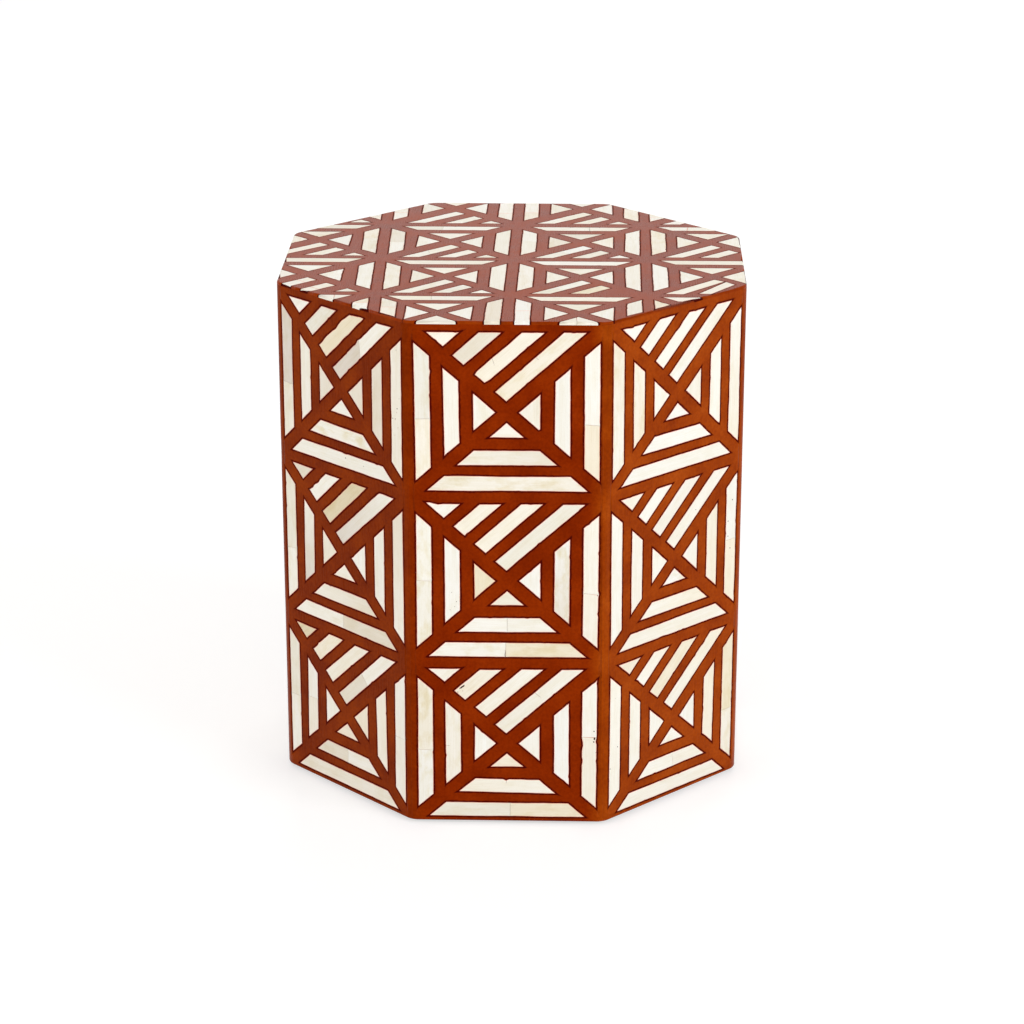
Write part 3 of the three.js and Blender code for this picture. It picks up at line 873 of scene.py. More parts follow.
@dataclass(frozen=True)
class BoneFinish:
    """Polished bone: the strip's tone, faint grain along it, canals, specks, stains, and a darkening that
    grows with depth below the polished face, in joints, cracks and pits.
    """

    streak: Triple = (20 * MM, 0.8 * MM, 1.0)
    streak_range: Range = (0.48, 0.72)
    streak_height: float = 0.5
    band: Triple = (46 * MM, 4.2 * MM, 1.0)
    band_range: Range = (0.42, 0.68)
    blotch: Triple = (19 * MM, 10 * MM, 1.0)
    blotch_range: Range = (0.46, 0.66)
    canal: Triple = (1.9 * MM, 0.2 * MM, 1.0)
    canal_range: Range = (0.66, 0.74)
    canal_share: float = 0.5
    canal_height: float = 1.6
    speck_cell: float = 4.6 * MM
    speck_radius: float = 0.085
    speck_blur: float = 1.7
    speck_odds: float = 0.3
    edge_range: Range = (0.1, 1.0)
    edge_share: float = 0.8
    depth_dark_range: Range = (1.2, 4.0)
    depth_dark_share: float = 0.96
    gloss_range: Range = (0.35, 0.65)
    streak_colour: Colour = rgb(0.945, 0.93, 0.89)
    band_colour: Colour = rgb(0.968, 0.958, 0.925)
    stain_colour: Colour = rgb(0.885, 0.835, 0.675)
    canal_colour: Colour = rgb(0.70, 0.62, 0.50)
    edge_colour: Colour = rgb(1.08, 0.56, 0.46)
    depth_dark_colour: Colour = rgb(0.048, 0.020, 0.013)
    speck_colour: Colour = rgb(0.035, 0.028, 0.02)
    level: float = 0.24
    smooth: float = 0.30
    dull: float = 0.46
    relief_depth: float = 0.02 * MM

    def material(self) -> bpy.types.Material:
        """Makes the bone's material, which reads the strip's tone, wear and grain coordinates.

        Returns:
            The material.
        """
        board = NodeBoard.of_material("bone")
        grain = board.put("UVMap", uv_map="grain").outputs["UV"]
        tone = board.put("Attribute", attribute_name="tone").outputs["Color"]
        wear = board.put("Attribute", attribute_name="wear").outputs["Vector"]
        depth, stain, specks = board.put("SeparateXYZ", {0: wear}).outputs
        streaks = board.clouds(board.stretched(grain, self.streak), detail=4.0, rough=0.6)
        bands = board.clouds(board.stretched(grain, self.band), detail=2.0)
        blotches = board.clouds(board.stretched(grain, self.blotch), rough=0.6)
        canals = board.clouds(board.stretched(grain, self.canal), detail=1.0)
        cells = board.put("TexVoronoi", {"Vector": grain, "Scale": 1 / self.speck_cell, "Randomness": 1.0})
        picked = board.put("SeparateColor", {0: cells.outputs["Color"]}).outputs[0]
        colour = board.mixed(board.span(bands, *self.band_range), tone, self.band_colour, "MULTIPLY")
        stained = board.reckoned(board.span(blotches, *self.blotch_range), stain)
        colour = board.mixed(stained, colour, self.stain_colour, "MULTIPLY")
        streaked = board.span(streaks, *self.streak_range)
        colour = board.mixed(streaked, colour, self.streak_colour, "MULTIPLY")
        pitted = board.span(canals, *self.canal_range, 0.0, self.canal_share)
        colour = board.mixed(pitted, colour, self.canal_colour, "MULTIPLY")
        worn = board.span(depth, *self.edge_range, 0.0, self.edge_share)
        colour = board.mixed(worn, colour, self.edge_colour, "MULTIPLY")
        # Darker the deeper a point lies below the polished face, on the walls and floors of joints, cracks
        # and pits
        depth_darkened = board.span(depth, *self.depth_dark_range, 0.0, self.depth_dark_share)
        colour = board.mixed(depth_darkened, colour, self.depth_dark_colour)
        blur = self.speck_radius * self.speck_blur
        near = board.span(cells.outputs["Distance"], self.speck_radius, blur, 1.0, 0.0)
        few = board.reckoned(picked, board.reckoned(specks, self.speck_odds), "LESS_THAN")
        colour = board.mixed(board.reckoned(near, few), colour, self.speck_colour)
        raised = board.reckoned(streaks, self.streak_height)
        height = board.reckoned(raised, board.reckoned(pitted, self.canal_height), "SUBTRACT")
        return board.finish(
            Base_Color=colour,
            Roughness=board.span(streaks, *self.gloss_range, self.smooth, self.dull),
            Normal=board.relief(height, self.relief_depth),
            Specular_IOR_Level=self.level,
        )


@dataclass(frozen=True)
class ResinFinish:
    """Poured resin, sanded flush and lacquered: rust, with cloudy pigment, fine specks and an orange peel.

    The sectors are turns round the stool, of which the left is 0 and the front 0.25: where a change of colour
    begins to grow, where it is full, where it begins to fall and where it is gone. These changes are painted
    light
    and painted shade: the right-hand sides are lightened and the left-hand sides darkened, as the lamp on the
    right lights them.
    """

    cloud: float = 32 * MM
    low_clouds: Range = (0.36, 0.52)
    high_clouds: Range = (0.52, 0.72)
    drift: float = 130 * MM
    drift_range: Range = (0.5, 0.72)
    drift_share: float = 0.45
    mottle: float = 2.6 * MM
    mottle_range: Range = (0.4, 0.62)
    speck: float = 0.8 * MM
    speck_range: Range = (0.70, 0.78)
    speck_share: float = 0.7
    peel: float = 3.2 * MM
    scratch: Triple = (0.5 * MM, 22 * MM, 22 * MM)
    scratch_height: float = 0.12
    gloss_range: Range = (0.38, 0.62)
    painted_light_sector: tuple[float, float, float, float] = (0.302, 0.311, 0.438, 0.5)
    painted_shade_sector: tuple[float, float, float, float] = (0.03, 0.0625, 0.180, 0.197)
    deep: Colour = rgb(0.192, 0.0150, 0.0003)
    rust: Colour = rgb(0.234, 0.0205, 0.0004)
    bright: Colour = rgb(0.282, 0.0290, 0.0010)
    speck_colour: Colour = rgb(0.42, 0.36, 0.34)
    mottle_colour: Colour = rgb(0.87, 0.83, 0.80)
    # Painted light: lightens the resin on the right-hand sides, as if the lamp on the right lit them more
    painted_light_and_glue_fade: Colour = rgb(1.40, 2.3, 3.6)
    # Painted shade: darkens the resin on the left-hand sides
    painted_shade: Colour = rgb(0.935, 1.27, 0.5)
    glint: Colour = rgb(1.0, 0.42, 0.18)
    level: float = 0.045
    smooth: float = 0.24
    dull: float = 0.36
    peel_depth: float = 0.012 * MM
    # Whether the sides get the painted light and painted shade above
    paints_side_light: bool = True

    def colour(self, board: NodeBoard) -> bpy.types.NodeSocket:
        """Makes the resin's clouded colour, with light and shade painted onto the sides where that is turned
        on.

        Args:
            board: the nodes of the material that it is for.

        Returns:
            The colour.
        """
        place = board.place()
        clouds = board.clouds(place, self.cloud, detail=5.0, rough=0.58)
        drifts = board.clouds(place, self.drift, detail=2.0)
        specks = board.clouds(place, self.speck, detail=1.0)
        colour = board.mixed(board.span(clouds, *self.low_clouds), self.deep, self.rust)
        colour = board.mixed(board.span(clouds, *self.high_clouds), colour, self.bright)
        drifted = board.span(drifts, *self.drift_range, 0.0, self.drift_share)
        colour = board.mixed(drifted, colour, self.bright)
        mottles = board.clouds(place, self.mottle, detail=2.0)
        mottled = board.span(mottles, *self.mottle_range)
        colour = board.mixed(mottled, colour, self.mottle_colour, "MULTIPLY")
        # Painted light on the right-hand sides and painted shade on the left-hand ones
        if self.paints_side_light:
            colour = board.mixed(self.sector(board, *self.painted_light_sector), colour, self.painted_light_and_glue_fade, "MULTIPLY")
            colour = board.mixed(self.sector(board, *self.painted_shade_sector), colour, self.painted_shade, "MULTIPLY")
        specked = board.span(specks, *self.speck_range, 0.0, self.speck_share)
        return board.mixed(specked, colour, self.speck_colour, "MULTIPLY")

    def sector(
        self, board: NodeBoard, start: float, full: float, ebbs: float, end: float
    ) -> bpy.types.NodeSocket:
        """Picks out the sides between two turns round the stool.

        Args:
            board: the nodes of the material.
            start: the turn where the share begins to grow.
            full: the turn where it is 1.
            ebbs: the turn where it begins to fall.
            end: the turn where it is back at 0.

        Returns:
            The share.
        """
        radial = board.put("TexGradient", {"Vector": board.place()}, gradient_type="RADIAL")
        turn = radial.outputs["Fac"]
        return board.reckoned(board.span(turn, start, full), board.span(turn, ebbs, end, 1.0, 0.0))

    def material(self) -> bpy.types.Material:
        """Makes the resin's material.

        Returns:
            The material.
        """
        board = NodeBoard.of_material("resin")
        place = board.place()
        clouds = board.clouds(place, self.cloud, detail=5.0, rough=0.58)
        scratches = board.clouds(board.stretched(place, self.scratch))
        peel = board.clouds(place, self.peel, detail=1.0)
        height = board.reckoned(peel, board.reckoned(scratches, self.scratch_height), "ADD")
        dulled = board.reckoned(board.reckoned(clouds, 0.5), board.reckoned(scratches, 0.5), "ADD")
        return board.finish(
            Base_Color=self.colour(board),
            Roughness=board.span(dulled, *self.gloss_range, self.smooth, self.dull),
            Normal=board.relief(height, self.peel_depth),
            Specular_IOR_Level=self.level,
            Specular_Tint=self.glint,
        )


@dataclass(frozen=True)
class GlueLineFinish:
    """The dark line where glue has crept up round each strip of bone, which fades out into the resin."""

    resin: ResinFinish = ResinFinish()
    cloud: float = 4 * MM
    cloud_range: Range = (0.3, 0.7)
    uneven: Range = (-0.16, 0.16)
    fade_range: Range = (0.55, 1.0)
    bleed_range: Range = (0.06, 0.2)
    bleed: Colour = rgb(0.36, 0.022, 0.010)
    dark: Colour = rgb(0.060, 0.0012, 0.0003)
    level: float = 0.02
    smooth: float = 0.5
    dull: float = 0.7

    def material(self) -> bpy.types.Material:
        """Makes the glue line's material, which reads how far from the bone a point of the line lies.

        Returns:
            The material.
        """
        board = NodeBoard.of_material("glue line")
        clouds = board.clouds(board.place(), self.cloud)
        creep = board.put("Attribute", attribute_name="creep").outputs["Fac"]
        painted_light_and_glue_fade = board.reckoned(creep, board.span(clouds, *self.cloud_range, *self.uneven), "ADD")
        # The resin colour that the line fades into carries the sides' painted light and painted shade
        colour = board.mixed(board.span(painted_light_and_glue_fade, *self.fade_range), self.dark, self.resin.colour(board))
        return board.finish(
            Base_Color=board.mixed(board.span(creep, *self.bleed_range), self.bleed, colour),
            Roughness=board.span(clouds, *self.cloud_range, self.smooth, self.dull),
            Specular_IOR_Level=self.level,
        )


@dataclass(frozen=True)
class BoardFinish:
    """Raw fibreboard: pressed brown fibres, with paler and darker flecks and a dry, felted surface."""

    fibre: Triple = (1.6 * MM, 0.35 * MM, 0.35 * MM)
    cloud: float = 35 * MM
    fibre_share: float = 0.75
    tone_range: Range = (0.36, 0.66)
    gloss_range: Range = (0.3, 0.7)
    dark: Colour = rgb(0.235, 0.135, 0.066)
    light: Colour = rgb(0.46, 0.30, 0.165)
    level: float = 0.25
    smooth: float = 0.82
    dull: float = 0.95
    felt_depth: float = 0.06 * MM

    def material(self) -> bpy.types.Material:
        """Makes the board's material.

        Returns:
            The material.
        """
        board = NodeBoard.of_material("fibreboard")
        place = board.place()
        fibres = board.clouds(board.stretched(place, self.fibre), detail=4.0, rough=0.65)
        clouds = board.clouds(place, self.cloud)
        fine = board.reckoned(fibres, self.fibre_share)
        both = board.reckoned(fine, board.reckoned(clouds, 1 - self.fibre_share), "ADD")
        return board.finish(
            Base_Color=board.mixed(board.span(both, *self.tone_range), self.dark, self.light),
            Roughness=board.span(fibres, *self.gloss_range, self.smooth, self.dull),
            Normal=board.relief(fibres, self.felt_depth),
            Specular_IOR_Level=self.level,
        )


@dataclass(frozen=True)
class TimberFinish:
    """Sawn softwood: growth rings that run up the block, and saw marks across it."""

    wave: float = 10.2 * MM
    waver: Triple = (18 * MM, 18 * MM, 240 * MM)
    waver_phase: float = 30
    ring_range: Range = (0.45, 0.98)
    saw_mark: Triple = (60 * MM, 60 * MM, 1.1 * MM)
    gloss_range: Range = (0.3, 0.7)
    early: Colour = rgb(0.66, 0.44, 0.225)
    late: Colour = rgb(0.40, 0.215, 0.085)
    level: float = 0.3
    smooth: float = 0.68
    dull: float = 0.85
    saw_depth: float = 0.08 * MM

    def material(self) -> bpy.types.Material:
        """Makes the timber's material.

        Returns:
            The material.
        """
        board = NodeBoard.of_material("softwood")
        place = board.place()
        waver = board.clouds(board.stretched(place, self.waver))
        phase = board.reckoned(waver, self.waver_phase)
        inputs = {"Vector": place, "Scale": 1 / self.wave, "Distortion": 0.0, "Phase Offset": phase}
        rings = board.put("TexWave", inputs, wave_type="BANDS", bands_direction="X", wave_profile="SAW")
        marks = board.clouds(board.stretched(place, self.saw_mark), detail=2.0)
        late_wood = board.span(rings.outputs["Fac"], *self.ring_range)
        return board.finish(
            Base_Color=board.mixed(late_wood, self.early, self.late),
            Roughness=board.span(marks, *self.gloss_range, self.smooth, self.dull),
            Normal=board.relief(marks, self.saw_depth),
            Specular_IOR_Level=self.level,
        )


@dataclass(frozen=True)
class PaintFinish:
    """A thin dark paint brushed over the base board, worn pale in places."""

    brush: Triple = (70 * MM, 1.3 * MM, 40 * MM)
    stroke_range: Range = (0.35, 0.7)
    scuff: float = 11 * MM
    scuff_range: Range = (0.66, 0.72)
    scuff_share: float = 0.8
    gloss_range: Range = (0.3, 0.7)
    dark: Colour = rgb(0.017, 0.011, 0.008)
    light: Colour = rgb(0.040, 0.026, 0.019)
    bare: Colour = rgb(0.17, 0.105, 0.06)
    smooth: float = 0.42
    dull: float = 0.66
    stroke_depth: float = 0.05 * MM

    def material(self) -> bpy.types.Material:
        """Makes the paint's material.

        Returns:
            The material.
        """
        board = NodeBoard.of_material("base paint")
        place = board.place()
        strokes = board.clouds(board.stretched(place, self.brush), detail=4.0, rough=0.6)
        scuffs = board.clouds(place, self.scuff, detail=6.0, rough=0.7)
        colour = board.mixed(board.span(strokes, *self.stroke_range), self.dark, self.light)
        scuffed = board.span(scuffs, *self.scuff_range, 0.0, self.scuff_share)
        return board.finish(
            Base_Color=board.mixed(scuffed, colour, self.bare),
            Roughness=board.span(strokes, *self.gloss_range, self.smooth, self.dull),
            Normal=board.relief(strokes, self.stroke_depth),
        )


@dataclass(frozen=True)
class NylonFinish:
    """Moulded brown nylon, dulled and scratched where it slides on the floor."""

    grain: float = 0.5 * MM
    scuff: Triple = (9 * MM, 0.4 * MM, 4 * MM)
    scuff_range: Range = (0.55, 0.75)
    scuff_share: float = 0.8
    gloss_range: Range = (0.4, 0.75)
    brown: Colour = rgb(0.042, 0.024, 0.016)
    scuffed: Colour = rgb(0.115, 0.082, 0.062)
    smooth: float = 0.36
    dull: float = 0.62
    grain_depth: float = 0.015 * MM

    def material(self) -> bpy.types.Material:
        """Makes the nylon's material.

        Returns:
            The material.
        """
        board = NodeBoard.of_material("nylon")
        place = board.place()
        scuffs = board.clouds(board.stretched(place, self.scuff))
        grain = board.clouds(place, self.grain, detail=2.0)
        rubbed = board.span(scuffs, *self.scuff_range, 0.0, self.scuff_share)
        return board.finish(
            Base_Color=board.mixed(rubbed, self.brown, self.scuffed),
            Roughness=board.span(scuffs, *self.gloss_range, self.smooth, self.dull),
            Normal=board.relief(grain, self.grain_depth),
        )


@dataclass(frozen=True)
class SteelFinish:
    """Zinc-plated steel with a faintly mottled, slightly yellowed plate."""

    spangle: float = 1.4 * MM
    yellow_range: Range = (0.4, 0.7)
    gloss_range: Range = (0.3, 0.7)
    bright: Colour = rgb(0.62, 0.62, 0.60)
    yellowed: Colour = rgb(0.52, 0.47, 0.34)
    smooth: float = 0.26
    dull: float = 0.42
    grain_depth: float = 0.008 * MM

    def material(self) -> bpy.types.Material:
        """Makes the steel's material.

        Returns:
            The material.
        """
        board = NodeBoard.of_material("zinc-plated steel")
        spangles = board.clouds(board.place(), self.spangle, detail=4.0, rough=0.6)
        return board.finish(
            Base_Color=board.mixed(board.span(spangles, *self.yellow_range), self.bright, self.yellowed),
            Roughness=board.span(spangles, *self.gloss_range, self.smooth, self.dull),
            Normal=board.relief(spangles, self.grain_depth),
            Metallic=1.0,
        )


@dataclass
class BoneWork:
    """Cuts strips of bone to shape and beds them: the sizes of hand work that all faces share."""

    fit: float = 0.18 * MM
    cut_step: float = 2.6 * MM
    shift: float = 0.35 * MM
    tilt: float = 0.3 * DEGREE
    bow: float = 34 * MM
    bow_height: float = 0.5 * MM
    least_bow: float = 0.4
    ripple: float = 7 * MM
    ripple_height: float = 0.3 * MM
    least_ripple: float = 0.25
    ragged_ripple: float = 1.6
    chip_depth: float = 0.55 * MM
    chip_range: Range = (0.3, 1.0)
    chip_odds: float = 0.012
    ragged_chip_odds: float = 0.03
    joint_gap: float = 0.22 * MM
    worn_width: float = 0.7 * MM
    worn_depth: float = 0.08 * MM
    seam_reach: float = 10 * WELD
    seam_wear: float = 0.1
    shortest_edge: float = 1.3 * MM
    sharpest: float = 28 * DEGREE
    tip_loss: float = 2.5 * MM
    crack_depth: float = 0.7 * MM
    crack_steps: int = 5
    crack_waver: float = 2
    crack_taper: float = 0.9
    crack_tip: float = 0.2
    pit_sides: int = 9
    pit_spread: float = 0.5
    pit_stretch: float = 1.5
    line_width: float = 2.0 * MM
    line_sink: float = 0.16 * MM
    resin_sink: float = 0.12 * MM
    tool_overrun: float = 3 * MM
    deepest_wear: float = 6.0
    tone_spread: float = 0.012
    warmth_on_green: float = 0.4
    warmth_on_blue: float = 1.5
    grain_reach: float = 9

    def outline(self, strip: Strip, mark: Mark, chance: random.Random) -> BMesh:
        """Cuts a flat sheet to a strip's outline, with the small errors of hand work.

        Args:
            strip: the strip as the pattern wants it.
            mark: what sets the strip apart.
            chance: the source of its errors.

        Returns:
            One flat face at height 0.
        """
        sheet = sheet_of(cut.inset(self.fit) for cut in strip.cuts)
        bmesh.ops.remove_doubles(sheet, verts=sheet.verts[:], dist=self.shortest_edge)
        sharp = [vert for vert in sheet.verts if self.angle_at(vert) < self.sharpest]
        if sharp:
            cut_off(sheet, sharp, self.tip_loss)
        middle = next(iter(sheet.faces)).calc_center_median()
        turn = Matrix.Rotation(chance.gauss(0, self.tilt), 4, "Z")
        bmesh.ops.rotate(sheet, verts=sheet.verts[:], cent=middle, matrix=turn)
        slip = Vector((chance.gauss(0, self.shift), chance.gauss(0, self.shift), 0)) / 2
        bmesh.ops.translate(sheet, verts=sheet.verts[:], vec=slip)
        if mark.blunt:
            tip = max(sheet.verts, key=lambda vert: (vert.co - middle).length)
            cut_off(sheet, [tip], mark.blunt)
        corners = set(sheet.verts)
        for edge in list(sheet.edges):
            cuts = round(edge.calc_length() / self.cut_step) - 1
            if cuts > 0:
                bmesh.ops.subdivide_edges(sheet, edges=[edge], cuts=cuts)
        self.roughen(sheet, corners, middle, mark.ragged, chance)
        self.nick(sheet, strip, mark)
        return sheet

    def angle_at(self, corner: BMVert) -> float:
        """The angle between the two edges that meet at a corner of a flat sheet."""
        first, second = (edge.other_vert(corner).co - corner.co for edge in corner.link_edges)
        return first.angle(second)

    def roughen(
        self, sheet: BMesh, corners: set[BMVert], middle: Vector, ragged: float, chance: random.Random
    ) -> None:
        """Makes the straight edges of a sheet bow and ripple, with a chip here and there.

        Args:
            sheet: the flat sheet.
            corners: its corners, which stay.
            middle: its middle.
            ragged: how unevenly it was cut, from 0 to 1.
            chance: the source of the errors.
        """
        drift = chance.uniform(0, NOISE_STEP)
        moves = []
        for vert in sheet.verts:
            if vert in corners:
                continue
            first, second = (edge.other_vert(vert).co for edge in vert.link_edges)
            along = (second - first).normalized()
            outward = Vector((along.y, -along.x, 0))
            if outward.dot(vert.co - middle) < 0:
                outward.negate()
            bow = noise.noise(Vector((*vert.co.xy / self.bow, drift))) * self.bow_height
            ripple = noise.noise(Vector((*vert.co.xy / self.ripple, drift))) * self.ripple_height
            rippling = self.least_ripple + self.ragged_ripple * ragged
            height = bow * (self.least_bow + ragged) + ripple * rippling
            if chance.random() < self.chip_odds + self.ragged_chip_odds * ragged:
                height -= chance.uniform(*self.chip_range) * self.chip_depth
            moves.append((vert, outward * height))
        for vert, move in moves:
            vert.co += move

    def nick(self, sheet: BMesh, strip: Strip, mark: Mark) -> None:
        """Bulges and hollows a sheet's edges.

        Args:
            sheet: the flat sheet.
            strip: the strip, for the way its grain runs.
            mark: where its edges bulge or fall in.
        """
        along = strip.along()
        upward = Vector((-along.y, along.x, 0))
        start, length = reach_of(sheet, along)
        low, width = reach_of(sheet, upward)
        for nick in mark.nicks:
            for vert in sheet.verts:
                off = (vert.co.dot(along) - start - nick.place * length) / nick.width
                beside = (vert.co.dot(upward) - low - width / 2) * nick.side
                if abs(off) < 1 and beside > 0:
                    vert.co += upward * nick.side * nick.depth * (1 - off * off)

    def crack(self, block: BMesh, outline: BMesh, strip: Strip, crack: Crack, high: float) -> BMesh:
        """Cuts a hairline into a length of bone.

        Args:
            block: the length of bone, which is used up.
            outline: the outline of its whole strip.
            strip: the strip, for the way its grain runs.
            crack: where the hairline starts, its length and its lean.
            high: height of the polished face.

        Returns:
            The cracked length of bone.
        """
        along = strip.along()
        inward = Vector((along.y, -along.x, 0)) * crack.side
        start, length = reach_of(outline, along)
        place = start + crack.place * length
        near = [vert.co for vert in outline.verts if abs(vert.co.dot(along) - place) < 2 * self.cut_step]
        edge = min(co.dot(inward) for co in near)
        groove = bmesh.new()
        bmesh.ops.create_grid(groove, x_segments=self.crack_steps, y_segments=1, size=0.5)
        bmesh.ops.scale(groove, verts=groove.verts[:], vec=(crack.length * 2, crack.width, 1))
        for vert in groove.verts:
            spot = Vector((vert.co.x / self.ripple * self.crack_waver, place * NOISE_STEP, 0))
            vert.co.y += noise.noise(spot) * self.ripple_height * self.crack_waver
            vert.co.y *= 1 if vert.co.x < crack.length * self.crack_taper else self.crack_tip
        thicken(groove, self.crack_depth + self.tool_overrun)
        turn = Matrix.Rotation(math.atan2(inward.y, inward.x) + crack.lean * DEGREE, 4, "Z")
        mouth = along * place + inward * edge + Vector((0, 0, high - self.crack_depth))
        bmesh.ops.transform(groove, matrix=Matrix.Translation(mouth) @ turn, verts=groove.verts[:])
        return carved(block, groove, Carving.CUT)

    def pit(self, block: BMesh, outline: BMesh, strip: Strip, pit: Pit, high: float) -> BMesh:
        """Sinks a small hole into a length of bone.

        Args:
            block: the length of bone, which is used up.
            outline: the outline of its whole strip.
            strip: the strip, for the way its grain runs.
            pit: where the hole lies and its size.
            high: height of the polished face.

        Returns:
            The pitted length of bone.
        """
        along = strip.along()
        upward = Vector((-along.y, along.x, 0))
        start, length = reach_of(outline, along)
        low, width = reach_of(outline, upward)
        drill = bmesh.new()
        bmesh.ops.create_circle(drill, cap_ends=True, segments=self.pit_sides, radius=pit.radius)
        for vert in drill.verts:
            spread = noise.noise(vert.co / pit.radius + Vector((pit.place, pit.beside, 0)) * NOISE_STEP)
            vert.co *= 1 + self.pit_spread * spread
        bmesh.ops.scale(drill, verts=drill.verts[:], vec=(self.pit_stretch, 1, 1))
        thicken(drill, self.crack_depth + self.tool_overrun)
        spot = along * (start + pit.place * length) + upward * (low + width * (1 + pit.beside) / 2)
        spot.z = high - self.crack_depth
        turn = Matrix.Rotation(strip.grain, 4, "Z")
        bmesh.ops.transform(drill, matrix=Matrix.Translation(spot) @ turn, verts=drill.verts[:])
        return carved(block, drill, Carving.CUT)

    def grown(self, outline: BMesh, keep_ring: bool) -> BMesh:
        """Grows an outline by the glue line's width.

        Args:
            outline: one flat face, which stays as it is.
            keep_ring: whether to keep only the ring between the two outlines, or only the whole grown face.

        Returns:
            The ring or the grown face.
        """
        sheet = outline.copy()
        creep = sheet.verts.layers.float.new("creep")
        face = next(iter(sheet.faces))
        made = bmesh.ops.inset_region(
            sheet, faces=[face], thickness=-self.line_width, use_even_offset=True, use_boundary=True
        )
        for vert in sheet.verts:
            vert[creep] = 0.0
        for vert in face.verts:
            vert[creep] = 1.0
        if keep_ring:
            bmesh.ops.delete(sheet, geom=[face], context="FACES_ONLY")
        else:
            bmesh.ops.delete(sheet, geom=made["faces"], context="FACES")
        return sheet

    def pocket(self, outline: BMesh, low: float, high: float) -> BMesh:
        """Makes the tool that cuts a strip's pocket out of the resin.

        Args:
            outline: the strip's outline.
            low: height of the resin's underside, which the tool passes.
            high: height of its face, which the tool passes too.

        Returns:
            The tool.
        """
        block = self.grown(outline, keep_ring=False)
        thicken(block, high - low + 2 * self.tool_overrun)
        bmesh.ops.translate(block, verts=block.verts[:], vec=(0, 0, low - self.tool_overrun))
        return block

    def glue_line(self, outline: BMesh, low: float, high: float) -> BMesh:
        """Makes the line of glue round a strip.

        Args:
            outline: the strip's outline.
            low: height of the line's underside.
            high: height of the polished face, which the line doesn't quite reach.

        Returns:
            The line.
        """
        block = self.grown(outline, keep_ring=True)
        thicken(block, high - self.line_sink - low)
        bmesh.ops.translate(block, verts=block.verts[:], vec=(0, 0, low))
        return block

    def lengths(self, outline: BMesh, strip: Strip, mark: Mark) -> list[BMesh]:
        """Splits an outline at the strip's joint.

        Args:
            outline: the strip's outline.
            strip: the strip, for the way its grain runs.
            mark: where its joint lies and how it leans.

        Returns:
            The one or two lengths of bone, as flat faces.
        """
        if not mark.joint:
            return [outline.copy()]
        along = strip.along()
        start, length = reach_of(outline, along)
        reach = start + mark.joint * length
        middle = next(iter(outline.faces)).calc_center_median()
        point = middle + along * (reach - middle.dot(along))
        lean = Matrix.Rotation(mark.lean * DEGREE, 3, "Z") @ along
        middle_cut = Cut(lean.x, lean.y, lean.dot(point))
        halves = []
        for side in (middle_cut, middle_cut.flipped()):
            cut = side.inset(self.joint_gap / 2)
            half = outline.copy()
            trim_flat(half, cut)
            seam = half.verts.layers.float.new("seam")
            on_cut = [vert for vert in half.verts if abs(cut.behind(vert.co)) < self.seam_reach]
            for vert in on_cut:
                vert[seam] = 1.0
            beside = [vert for vert in half.verts if vert not in on_cut]
            gaps = [min((vert.co - other.co).length for other in on_cut) for vert in beside]
            crowded = [vert for vert, gap in zip(beside, gaps) if gap < self.shortest_edge]
            bmesh.ops.dissolve_verts(half, verts=crowded)
            halves.append(half)
        return halves

    def bone(self, sheet: BMesh, low: float, high: float) -> BMesh:
        """Gives a flat length of bone its thickness, and softens its top edge.

        Args:
            sheet: the flat length of bone.
            low: height of its underside.
            high: height of its polished face.

        Returns:
            The same mesh, now solid.
        """
        thicken(sheet, high - self.worn_depth - low)
        top = max(sheet.faces, key=lambda face: face.calc_center_median().z)
        bmesh.ops.inset_region(
            sheet, faces=[top], thickness=self.worn_width, depth=self.worn_depth, use_even_offset=True
        )
        bmesh.ops.translate(sheet, verts=sheet.verts[:], vec=(0, 0, low))
        bmesh.ops.recalc_face_normals(sheet, faces=sheet.faces)
        return sheet

    def dress(
        self,
        block: BMesh,
        strip: Strip,
        mark: Mark,
        tones: tuple[Tone, Tone],
        buried: Callable[[Vector], float],
        chance: random.Random,
    ) -> None:
        """Gives a length of bone its tone, its wear and its grain coordinates.

        Args:
            block: the length of bone.
            strip: the strip, for the way its grain runs.
            mark: its stain and specks.
            tones: the tones at its start and its end.
            buried: tells how deep a point lies under the polished face.
            chance: the source of its small differences.
        """
        colours = block.verts.layers.float_color.new("tone")
        wears = block.verts.layers.float_vector.new("wear")
        grains = block.loops.layers.uv.new("grain")
        shade = 1 + chance.gauss(0, self.tone_spread)
        warmth = chance.gauss(0, self.tone_spread)
        green = shade - warmth * self.warmth_on_green
        balance = Vector((shade, green, shade - warmth * self.warmth_on_blue))
        first, second = (Vector(tone.value) * balance for tone in tones)
        along = strip.along()
        start, length = reach_of(block, along)
        seam = block.verts.layers.float.get("seam")
        for vert in block.verts:
            share = (vert.co.dot(along) - start) / length
            vert[colours] = rgb(*first.lerp(second, share))
            depth = buried(vert.co) / self.worn_depth
            if seam and vert[seam] > 0 and depth < 1 + self.seam_wear:
                depth *= self.seam_wear
            vert[wears] = Vector((min(max(depth, 0.0), self.deepest_wear), mark.stain, mark.specks))
        if seam:
            block.verts.layers.float.remove(seam)
        reach = self.grain_reach
        offset = Vector((chance.uniform(-reach, reach), chance.uniform(-reach, reach)))
        turn = Matrix.Rotation(-strip.grain, 2)
        for face in block.faces:
            for loop in face.loops:
                loop[grains].uv = turn @ loop.vert.co.xy + offset

